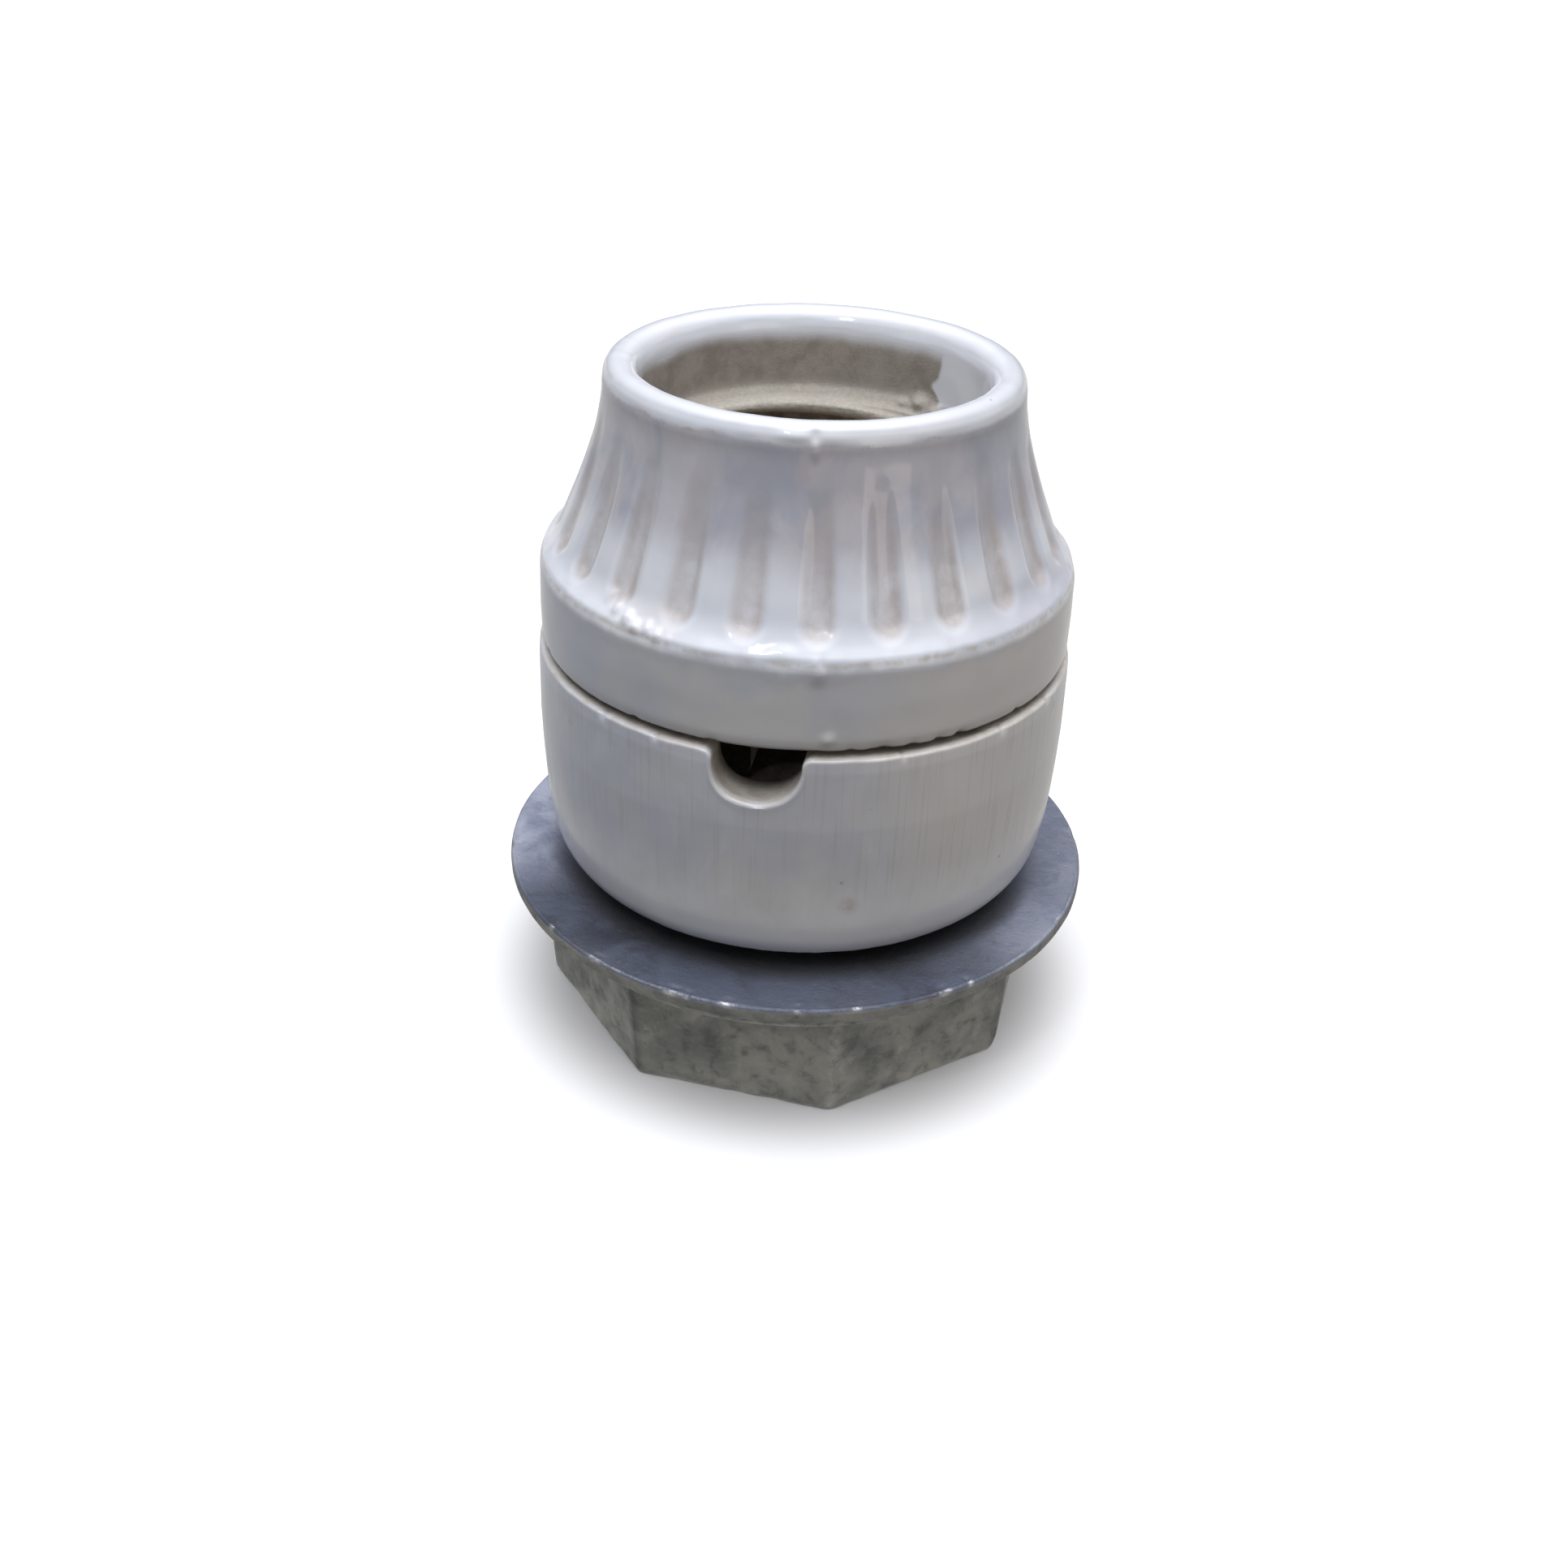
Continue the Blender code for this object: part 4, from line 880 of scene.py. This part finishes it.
        # quadratic curve from offset point, past the corner, to a point inwards on the face
        b0, b1, b2 = (1 - t) ** 2, 2 * t * (1 - t), t * t
        r_in_pt = r_e - lipr * 1.3
        dg = b0 * off_deg + b1 * top_deg + b2 * inward(r_in_pt)
        z = b0 * off_z + b1 * top_z + b2 * top_z
        r = b0 * r_out(off_z) + b1 * r_e + b2 * r_in_pt
        add(dg, r, z, 3)
    # top face / channel floor, inwards to the seat
    r_start = r_e - 0.26 * 1.3
    r_end = seat_r + 0.35
    n_face = 14
    for k in range(1, n_face + 1):
        r = r_start + (r_end - r_start) * k / n_face
        add(inward(r), r, top_z, 4)
    # inner edge
    top_in = inward(seat_r)
    na_in = n_a
    for k in range(1, 5):
        t = k / 4
        b0, b1, b2 = (1 - t) ** 2, 2 * t * (1 - t), t * t
        e2 = 0.35
        offi = top_in + np.degrees(na_in * e2 / seat_r)
        dg = b0 * inward(r_end) + b1 * top_in + b2 * offi
        r = b0 * r_end + b1 * seat_r + b2 * seat_r
        z = b0 * top_z + b1 * top_z + b2 * (top_z + n_z * e2)
        add(dg, r, z, 5)
    in_deg0 = top_in + np.degrees(na_in * 0.35 / seat_r)
    in_z0 = top_z + n_z * 0.35
    n_in = 12
    for k in range(1, n_in + 1):
        t = k / n_in
        tt = t
        dg = in_deg0 + (bot_deg - in_deg0) * tt
        z = in_z0 + (28.15 - in_z0) * t
        add(dg, seat_r, z, 6)
    inner = profile([(20.0, 28.15), (20.0, 28.0, 0.06), (17.6, 28.0, 0.2, 0.15), (17.6, 20.45, 0.4, 0.3),
                     (16.8, 19.65, 0.4, 0.2), (5.0, 19.65, 0.25, 0.2), (5.0, 15.95)], 0.8)
    for r, z in inner[1:-1]:
        add(bot_deg, r, z, 7)

    Dg = np.array(rows_deg); R = np.array(rows_r); Z = np.array(rows_z)
    tag = np.array(tags)[:, None]
    A = np.radians(Dg)
    cx, sy = np.cos(A), np.sin(A)
    outer = (tag <= 3) & (R > 20.6)
    # unevenness
    d = 0.050 * fbm(2.0 * cx, 2.0 * sy, Z * 0.07, 103, 2) + 0.030 * fbm(6.0 * cx, 6.0 * sy, Z * 0.22, 111, 2)
    R = R + np.where(outer, d, 0.0)
    # glaze lip along the top edge and round the notch
    ez = top_z[None, :] - Z
    lipd = np.where(tag == 3, 0.0, ez)
    near = bumpf(np.clip(ez, 0, 5) - 0.35, 0.75) * outer
    R = R + 0.018 * near
    # fine drag marks down the wall
    st = noise3(Dg * 1.9, 0.0, Z * 0.03, 121) * 0.5 + noise3(Dg * 4.3, 0.0, Z * 0.05, 122) * 0.5
    st_w = smooth01(Z, 18.0, 21.0) * (1.0 - smooth01(Z, 33.5, 36.0))
    R = R + np.where(outer, 0.011 * st * st_w, 0.0)
    # chips and roughness on the top edge
    up = np.where((tag >= 3) & (tag <= 4), 1.0, 0.0)
    edge_w = bumpf(ez, 0.6) * outer
    Z = Z - (edge_w + up * (R > 22.0)) * np.clip(0.03 + 0.045 * fbm(16.0 * cx, 16.0 * sy, 0.3, 131, 3), 0, 0.12)
    for a_c2, w_c, h_c in ((-20.5, 1.6, 0.35), (-38.0, 1.4, 0.22), (-62.0, 1.0, 0.15), (-112.0, 1.2, 0.16),
                           (-126.0, 1.6, 0.2), (40.0, 2.2, 0.3), (118.0, 1.8, 0.26), (170.0, 1.6, 0.2)):
        g = bumpf(wrap_deg(Dg - a_c2), w_c) * bumpf(np.clip(ez, 0, 9), 0.9) * (R > 23.0) * (tag <= 4)
        Z = Z - h_c * 0.6 * g
        R = R - h_c * 0.7 * g
    # roughness at the foot
    foot = (1.0 - smooth01(Z, 15.7, 17.2)) * (R > 19.0) * (tag <= 1)
    R = R + foot * 0.10 * fbm(18.0 * cx, 18.0 * sy, Z * 0.9, 141, 3)
    Z = np.maximum(Z + foot * (0.03 + 0.03 * fbm(26.0 * cx, 26.0 * sy, 0.2, 142, 2)), 15.62)
    # channel walls: slightly wavy bisque
    ch = (tag >= 3) & (tag <= 6) & (top_z[None, :] < z_top - 0.3)
    Z = Z + np.where(ch, 0.05 * fbm(Dg * 0.35, R * 0.9, 0.0, 151, 3), 0.0)
    X, Y = R * cx, R * sy
    ob = loop_grid("body_shell", X, Y, Z, MAT_BODY)
    drill(ob, [(CLEAR_R, 14.6, 20.6, x, y) for x, y in FIX])

    co = coords(ob)
    x, y, z = co[:, 0], co[:, 1], co[:, 2]
    r = np.hypot(x, y)
    dg = np.degrees(np.arctan2(y, x))
    # distance from the notch outline in the (x, z) plane, on the front wall
    front = (y < -15.0)
    xn = x + 0.35
    q = np.clip(start - z, 0.0, None) / high
    pw = np.where(xn < 0, 2.5, 2.05)
    sup = (np.abs(xn / half_w) ** pw + q ** pw) ** (1.0 / pw)
    dn = (sup - 1.0) * 0.5 * (half_w + high)
    dn = np.where(front, dn, 50.0)
    dt = z_top - z
    e_dist = np.minimum(dt, np.maximum(dn, 0.0))
    wob = 0.12 * fbm(x * 0.5, y * 0.5, z * 0.5, 161, 3)
    # lip: cream glaze along the top edge, partly a painted highlight
    lip = bumpf(e_dist + wob - 0.12, 0.30) * smooth01(r, 23.2, 23.6) * 0.45
    thin = bumpf(e_dist + wob - 0.02, 0.22) * smooth01(r, 23.0, 23.5) * 0.6
    thin = np.maximum(thin, 0.7 * (1.0 - smooth01(z, 15.8, 16.3)) * (r > 20.0))
    thin = np.maximum(thin, 1.0 * bumpf(wrap_deg(dg + 20.0), 2.4) * bumpf(z - 36.1, 1.0) * (r > 22.5))
    bare = 1.0 - smooth01(r, 23.15, 23.5)
    bare = np.where(z < 20.0, np.where(r < 20.0, 1.0, np.where(z < 15.85, 0.8, 0.0)), bare)
    bare = np.where((z < 27.0) & (r > 20.4), np.where(z < 15.8, 0.8, 0.0), bare)
    bare = np.where((z >= 20.0) & (r < 20.1), 1.0, bare)
    # painted shade: darker deeper into the notch channel and on the inner wall of the cavity
    in_ch = front & (z < z_top - 0.25) & (z > 31.0) & (dn < 0.9)
    dark = np.where(in_ch, 0.06 + 0.94 * smooth01(23.5 - r, 1.3, 3.5), 0.0) * (r < 23.6)
    dark = np.maximum(dark, np.where((z > 19.9) & (r < 20.1), 0.80, 0.0))
    for a_s, z_s, w_s, k_s in ((-71.5, 22.45, 0.62, 0.75), (-17.2, 35.2, 0.40, 1.0), (-137.0, 33.8, 0.30, 0.8)):
        ds = np.hypot(wrap_deg(dg - a_s) * math.pi / 180.0 * 23.9, z - z_s)
        thin = np.maximum(thin, k_s * bumpf(ds, w_s * 2.0) * (r > 23.0))
    mask(ob, "dark", dark)
    mask(ob, "lip", lip)
    mask(ob, "thin", thin)
    mask(ob, "bare", bare)
    return ob


# ------------------------------------------------------------------------------ base
def build_base():
    n_col = 8 * 90
    # columns spaced unevenly about each corner, closer together towards the middle of each face
    base = np.arange(n_col // 8) / (n_col // 8)
    u = base - 0.5
    warp = 22.5 * (u * 2.0) + 5.2 * np.sin(TAU * u)
    local = warp                                     # -22.5..22.5 about a corner
    deg = np.concatenate([17.33 + 45.0 * k + local for k in range(8)])
    A = np.radians(deg)
    cx, sy = np.cos(A), np.sin(A)
    sec = np.round((deg - 17.33) / 45.0)
    delta = np.radians(deg - 17.33 - 45.0 * sec)     # from the corner direction
    kq = (sec.astype(int)) % 8
    rho = np.array([1.25, 1.0, 1.35, 1.1, 1.2, 0.8, 1.5, 1.1])[kq]
    c22, s22 = math.cos(math.radians(22.5)), math.sin(math.radians(22.5))

    def octagon(z, inset=0.0):
        ap = (24.0 + 0.6 * np.clip(z, 0, 12.6) / 12.6) * c22 - inset
        face = ap / np.cos(math.radians(22.5) - np.abs(delta))
        c = (ap - rho) / c22
        d0 = np.arctan2(rho * s22, c + rho * c22)
        arc = c * np.cos(delta) + np.sqrt(np.clip(rho ** 2 - (c * np.sin(delta)) ** 2, 0, None))
        return np.where(np.abs(delta) < d0, arc, face)

    rows_r, rows_z, tags = [], [], []

    def add(r, z, tag):
        rows_r.append(np.broadcast_to(r, (n_col,)).astype(float))
        rows_z.append(np.broadcast_to(z, (n_col,)).astype(float))
        tags.append(tag)

    # octagon wall, bottom edge rounded
    for k in range(0, 6):
        a = 0.5 * math.pi * k / 6
        add(octagon(0.65, 0.0) - 0.65 * (1 - math.sin(a)) , 0.65 * (1 - math.cos(a)), 0)
    for z in np.arange(0.65, 10.2, 0.22):
        add(octagon(z), z, 1)
    # concave fillet into the ring under the flange
    ring = 25.55
    for k in range(0, 8):
        t = k / 7
        zf = 10.2 + 0.95 * math.sin(0.5 * math.pi * t)
        oc = octagon(10.4)
        add(oc + (ring - 0.15 - oc) * (1 - math.cos(0.5 * math.pi * t)) ** 1.0 * 1.0, zf, 2)
    add(ring, 11.22, 3)
    add(ring + 0.08, 11.38, 3)
    for z in (11.65, 12.0, 12.35, 12.7):
        add(ring + 0.11, z, 3)
    add(ring + 0.13, 12.88, 3)
    add(ring + 0.2, 12.98, 3)
    under = profile([(25.9, 13.0), (27.3, 13.0, 0.2, 0.1), (27.58, 13.32, 0.18, 0.08), (27.6, 14.1, 0.2, 0.12),
                     (27.5, 14.36, 0.1, 0.06), (27.25, 14.47, 0.12, 0.08), (26.6, 14.48, 0.3, 0.2), (5.6, 14.48)], 0.34)
    for r, z in under[:-1]:
        add(r, z, 4 if z < 13.05 else (5 if r > 27.2 else 6))
    hole = profile([(5.6, 14.48), (5.0, 14.48, 0.3, 0.12), (5.0, 10.9, 0.2, 0.15), (16.62, 10.9, 0.15, 0.15),
                    (16.62, 0.9, 0.12, 0.15), (17.5, 0.0, 0.12, 0.12), (19.0, 0.0)], 0.5)
    dense = []
    for r, z in hole:
        dense.append((r, z))
    out = []
    for i in range(len(dense) - 1):
        out.append(dense[i])
        if abs(dense[i][0] - 16.62) < 0.05 and abs(dense[i + 1][0] - 16.62) < 0.05:
            dzz = dense[i + 1][1] - dense[i][1]
            kk = max(1, int(abs(dzz) / 0.14))
            for q in range(1, kk):
                out.append((16.62, dense[i][1] + dzz * q / kk))
    out.append(dense[-1])
    for r, z in out:
        add(r, z, 7)
    # bottom land from the bore's chamfer to the octagon
    for t in (0.25, 0.5, 0.75):
        add(19.0 + (octagon(0.65) - 0.65 - 19.0) * t, 0.0, 8)

    R = np.array(rows_r); Z = np.array(rows_z)
    tag = np.array(tags)[:, None]
    # pipe thread
    D = np.broadcast_to(deg[None, :], R.shape)
    h = helix_height(D, Z, 1.7, 20.0, 2.309, 20.0, 20.0 + 3.4 * 360.0, 1.95, 0.45, 30.0)
    bore = (tag == 7) & (np.abs(R - 16.62) < 0.2) & (Z > 0.6) & (Z < 10.8)
    R = R - np.where(bore, h * 1.47, 0.0)
    # casting: slight hollows, dents and a wavy lower edge
    X0, Y0 = R * cx, R * sy
    wallm = (tag <= 2)
    d = 0.14 * fbm(X0 * 0.10, Y0 * 0.10, Z * 0.12, 201, 3) + 0.05 * fbm(X0 * 0.5, Y0 * 0.5, Z * 0.5, 202, 3)
    R = R + np.where(wallm, d - 0.06, 0.0)
    Z = Z + np.where((tag == 0) | (tag == 8), 0.0, 0.0)
    lowe = (1.0 - smooth01(Z, 0.4, 1.6)) * wallm
    R = R - lowe * np.clip(0.16 * fbm(X0 * 0.55, Y0 * 0.55, 0.0, 205, 3), 0, 0.3)
    fl_side = (tag == 5)
    R = R + np.where(fl_side, 0.05 * fbm(6 * cx, 6 * sy, 0.2, 211, 3) - 0.03, 0.0)
    nicks_and_edge_highlight = np.zeros(R.shape)
    for a_n, w_n, h_n in ((-134.0, 1.2, 0.20), (-121.0, 2.2, 0.20), (-104.0, 2.6, 0.22), (-101.0, 1.0, 0.26),
                          (-93.5, 2.0, 0.14), (-81.0, 0.9, 0.25), (-70.5, 1.3, 0.18), (-53.5, 1.8, 0.18),
                          (-48.0, 1.0, 0.22), (-20.0, 1.5, 0.15), (12.0, 2.0, 0.2), (55.0, 2.4, 0.2),
                          (80.0, 1.2, 0.25), (121.0, 2.0, 0.2), (160.0, 1.6, 0.22), (-165.0, 2.0, 0.18)):
        g = bumpf(wrap_deg(D - a_n), w_n) * bumpf(Z - 14.4, 0.45) * (R > 26.6)
        R = R - g * h_n * 0.6
        Z = Z - g * h_n * 0.5 * (Z > 14.2)
        nicks_and_edge_highlight = np.maximum(nicks_and_edge_highlight, bumpf(wrap_deg(D - a_n), w_n * 1.25) * bumpf(Z - 14.42, 0.32) * (R > 27.0))
    topf = (tag == 6)
    Z = Z + np.where(topf & (R > 18.0), 0.045 * fbm(X0 * 0.25, Y0 * 0.25, 0.0, 221, 3) - 0.03, 0.0)
    Z = np.where(topf | fl_side, np.minimum(Z, 14.5), Z)
    X, Y = R * cx, R * sy
    ob = loop_grid("base_casting", X, Y, Z, MAT_ZINC)
    n_before = len(ob.data.vertices)
    drill(ob, [(CLEAR_R, 9.6, 15.6, x, y) for x, y in FIX])
    co = coords(ob)
    x, y, z = co[:, 0], co[:, 1], co[:, 2]
    r = np.hypot(x, y)
    dg = np.degrees(np.arctan2(y, x))
    top = smooth01(z, 14.1, 14.35) * (r > 16.0)
    nick_and_highlight_mix = np.zeros(len(r))
    for a_n, w_n in ((-134.0, 1.4), (-121.0, 2.4), (-104.0, 3.0), (-93.5, 2.2), (-81.0, 1.0), (-70.5, 1.5),
                     (-53.5, 2.2), (-48.0, 1.2), (-20.0, 1.5), (12.0, 2.0), (55.0, 2.4), (80.0, 1.2),
                     (121.0, 2.0), (160.0, 1.6), (-165.0, 2.0)):
        nick_and_highlight_mix = np.maximum(nick_and_highlight_mix, bumpf(wrap_deg(dg - a_n), w_n) * bumpf(z - 14.40, 0.22) * (r > 27.1))
    runs = smooth01(fbm(np.cos(np.radians(dg)) * 4.0, np.sin(np.radians(dg)) * 4.0, 0.2, 231, 3), -0.05, 0.30)
    # painted highlight: a thin bright line along the flange's top edge, stronger at the front left
    edge_highlight = bumpf(z - 14.42, 0.10) * (r > 27.2) * (0.02 + 0.26 * runs)
    edge_highlight = np.maximum(edge_highlight, bumpf(z - 14.42, 0.09) * (r > 27.2) * 0.42 * bumpf(wrap_deg(dg + 117.0), 11.0))
    step_line = bumpf(z - 11.30, 0.20) * (r > 25.2) * (r < 26.0) * 0.50 * (0.25 + 0.75 * bumpf(wrap_deg(dg + 84.0), 18.0))
    corner, crease = np.zeros(len(r)), np.zeros(len(r))
    # three corners get a dark line of painted shade, the others a pale line
    for k in range(8):
        line = bumpf(wrap_deg(dg - 17.33 - 45 * k), 1.7)
        if k in (5, 1, 7):
            crease = np.maximum(crease, line)
        else:
            corner = np.maximum(corner, line)
    corner = corner * (z < 10.4) * (r > 21.0) * 0.22
    crease = crease * (z < 10.6) * (r > 21.0) * 0.55
    nick_and_highlight_mix = np.maximum(np.maximum(nick_and_highlight_mix, edge_highlight), np.maximum(step_line, corner))
    az = wrap_deg(dg + 90.0)
    front_w = smooth01(az, -88.0, -55.0) * (1.0 - smooth01(az, 60.0, 95.0))
    # painted shade under the flange, on the flange's side, in the corner creases and round the body's foot
    deep_shade = ((z > 12.7) & (z < 13.2) & (r < 26.6) & (r > 24.8)).astype(float) * 0.8
    deep_shade = np.maximum(deep_shade, bumpf(z - 12.3, 0.6) * (r > 25.2) * (r < 26.2) * 0.45)
    deep_shade = np.maximum(deep_shade, (r > 27.3) * (z < 14.28) * (z > 13.0) * (0.34 + 0.22 * fbm(x * 0.3, y * 0.3, z, 243, 3)))
    deep_shade = np.maximum(deep_shade, crease)
    deep_shade = np.maximum(deep_shade, (1.0 - smooth01(r, 21.6, 24.4)) * (0.25 + 0.60 * front_w) * top)
    az = wrap_deg(dg + 90.0)
    shade = 1.0 - smooth01(az, -78.0, -48.0) * (1.0 - smooth01(az, 42.0, 74.0))
    shade = 0.98 * (1.0 - shade) + 0.50 * smooth01(az, 55.0, 80.0) * (1.0 - smooth01(az, 120.0, 170.0))
    shade = np.maximum(shade, (1.0 - smooth01(r, 22.3, 25.0)) * (0.35 + 0.60 * front_w))
    shade = shade * (0.90 + 0.30 * fbm(x * 0.12, y * 0.12, 0.4, 241, 2)) * top
    mask(ob, "shade", shade)
    mask(ob, "top", top)
    mask(ob, "nicks_and_edge_highlight", nick_and_highlight_mix)
    mask(ob, "deep_shade", deep_shade)
    return ob


cap = build_cap()
body = build_body()
base = build_base()
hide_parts("porcelain_cap")
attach(cap, "cap")
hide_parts("porcelain_body")
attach(body, "holder")
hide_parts("octagon_base")
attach(base, "holder")

# -------------------------------------------------------- materials on the inner pieces
SLOT_MAT = {"glazed_porcelain": MAT_CAP, "body_porcelain": MAT_BODY, "steatite": MAT_STEATITE,
            "cast_zinc": MAT_ZINC, "dark_fibre": MAT_FIBRE, "seal_rubber": MAT_RUBBER,
            "brass": MAT_BRASS, "spring_bronze": MAT_BRONZE, "plated_steel": MAT_STEEL}
slots = {s["node"]: s["material_slot"] for s in frame["record"]["subparts"]}
for name, ob in frame["nodes"].items():
    ob.data.materials.clear()
    ob.data.materials.append(SLOT_MAT[slots[name]])


# ------------------------------------------------------------------ floor, light, camera
def floor():
    t = Tree("floor_paper")
    m = t.noise(0.004, 2.0, 0.5)
    col = t.mix(m, (0.855, 0.855, 0.860), (0.875, 0.875, 0.878))
    t.set(color=col, rough=0.9, normal=t.bump(t.noise(0.8, 3.0), 0.01, 0.2), spec=0.1)
    me = bpy.data.meshes.new("floor")
    s = 3.0
    me.from_pydata([(-s, -s, 0), (s, -s, 0), (s, s, 0), (-s, s, 0)], [], [(0, 1, 2, 3)])
    me.materials.append(t.mat)
    ob = link(bpy.data.objects.new("floor", me))
    ob.location.z = -0.0001
    ob.visible_diffuse = False
    ob.visible_glossy = False
    return ob


floor()


def world():
    w = bpy.data.worlds.new("soft_studio")
    bpy.context.scene.world = w
    w.use_nodes = True
    nt = w.node_tree
    nt.nodes.clear()
    out = nt.nodes.new("ShaderNodeOutputWorld")
    bg = nt.nodes.new("ShaderNodeBackground")
    tc = nt.nodes.new("ShaderNodeTexCoord")
    sp = nt.nodes.new("ShaderNodeSeparateXYZ")
    nt.links.new(tc.outputs["Generated"], sp.inputs[0])
    cr = nt.nodes.new("ShaderNodeValToRGB")
    el = cr.color_ramp.elements
    peak = 6.6
    low = 0.035

    def level(mu):
        v = (low + (peak - low) * mu ** 7) / peak
        return (v * 0.985, v * 0.99, v * 1.02, 1)
    el[0].position, el[0].color = 0.0, level(0.0)
    el[1].position, el[1].color = 1.0, level(1.0)
    for p in (0.40, 0.50, 0.58, 0.65, 0.71, 0.77, 0.82, 0.86, 0.90, 0.94, 0.97):
        e = el.new(p)
        e.color = level(p)
    nt.links.new(sp.outputs[2], cr.inputs[0])
    nt.links.new(cr.outputs[0], bg.inputs[0])
    bg.inputs[1].default_value = peak
    # what glossy surfaces see below the horizon: the pale floor with the piece's own shadow
    mr = nt.nodes.new("ShaderNodeMapRange")
    mr.inputs["From Min"].default_value = -0.10
    mr.inputs["From Max"].default_value = 0.02
    mr.inputs["To Min"].default_value = 0.66
    mr.inputs["To Max"].default_value = 0.0
    nt.links.new(sp.outputs[2], mr.inputs["Value"])
    gl = nt.nodes.new("ShaderNodeLightPath")
    mu = nt.nodes.new("ShaderNodeMath")
    mu.operation = 'MULTIPLY'
    nt.links.new(mr.outputs[0], mu.inputs[0])
    nt.links.new(gl.outputs["Is Glossy Ray"], mu.inputs[1])
    under = nt.nodes.new("ShaderNodeBackground")
    under.inputs[0].default_value = (1.0, 0.995, 0.985, 1.0)
    nt.links.new(mu.outputs[0], under.inputs[1])
    both = nt.nodes.new("ShaderNodeAddShader")
    nt.links.new(bg.outputs[0], both.inputs[0])
    nt.links.new(under.outputs[0], both.inputs[1])
    pale = nt.nodes.new("ShaderNodeBackground")
    pale.inputs[0].default_value = (1.0, 1.0, 1.0, 1.0)
    lp = nt.nodes.new("ShaderNodeLightPath")
    mx = nt.nodes.new("ShaderNodeMixShader")
    nt.links.new(lp.outputs["Is Camera Ray"], mx.inputs[0])
    nt.links.new(both.outputs[0], mx.inputs[1])
    nt.links.new(pale.outputs[0], mx.inputs[2])
    nt.links.new(mx.outputs[0], out.inputs[0])


world()


def area(name, loc_mm, target_mm, size_mm, watts, colour=(1, 1, 1)):
    li = bpy.data.lights.new(name, 'AREA')
    li.shape = 'RECTANGLE'
    li.size, li.size_y = size_mm[0] * MM, size_mm[1] * MM
    li.energy = watts
    li.color = colour
    ob = link(bpy.data.objects.new(name, li))
    loc = Vector(loc_mm) * MM
    d = Vector(target_mm) * MM - loc
    ob.matrix_world = Matrix.Translation(loc) @ d.to_track_quat('-Z', 'Y').to_matrix().to_4x4()
    return ob


area("key_small", (-60, -210, 330), (0, 0, 45), (22, 22), 0.07, (1.0, 1.0, 1.0))
area("cool_left", (-400, -170, 150), (0, 0, 35), (260, 260), 0.10, (0.80, 0.90, 1.0))
area("warm_right", (310, -300, 110), (0, 0, 30), (200, 180), 0.17, (1.0, 0.92, 0.82))


def camera():
    cd = bpy.data.cameras.new("camera")
    cd.sensor_width = 36.0
    cd.lens = 38.10
    cd.clip_start = 0.005
    cd.clip_end = 20.0
    ob = link(bpy.data.objects.new("camera", cd))
    ro = math.radians(2.097)
    fwd = Vector((-0.119324, 0.849036, -0.51469)).normalized()
    right = Vector((0.990268, 0.139173, 0.0)).normalized()
    up = right.cross(fwd).normalized()
    r = math.cos(ro) * right + math.sin(ro) * up
    u = -math.sin(ro) * right + math.cos(ro) * up
    mw = Matrix.Identity(4)
    for k in range(3):
        mw[k][0], mw[k][1], mw[k][2] = r[k], u[k], -fwd[k]
    mw.translation = Vector((17.711, -135.694, 102.235)) * MM
    ob.matrix_world = mw
    bpy.context.scene.camera = ob


camera()
bpy.context.scene.view_settings.view_transform = 'Standard'

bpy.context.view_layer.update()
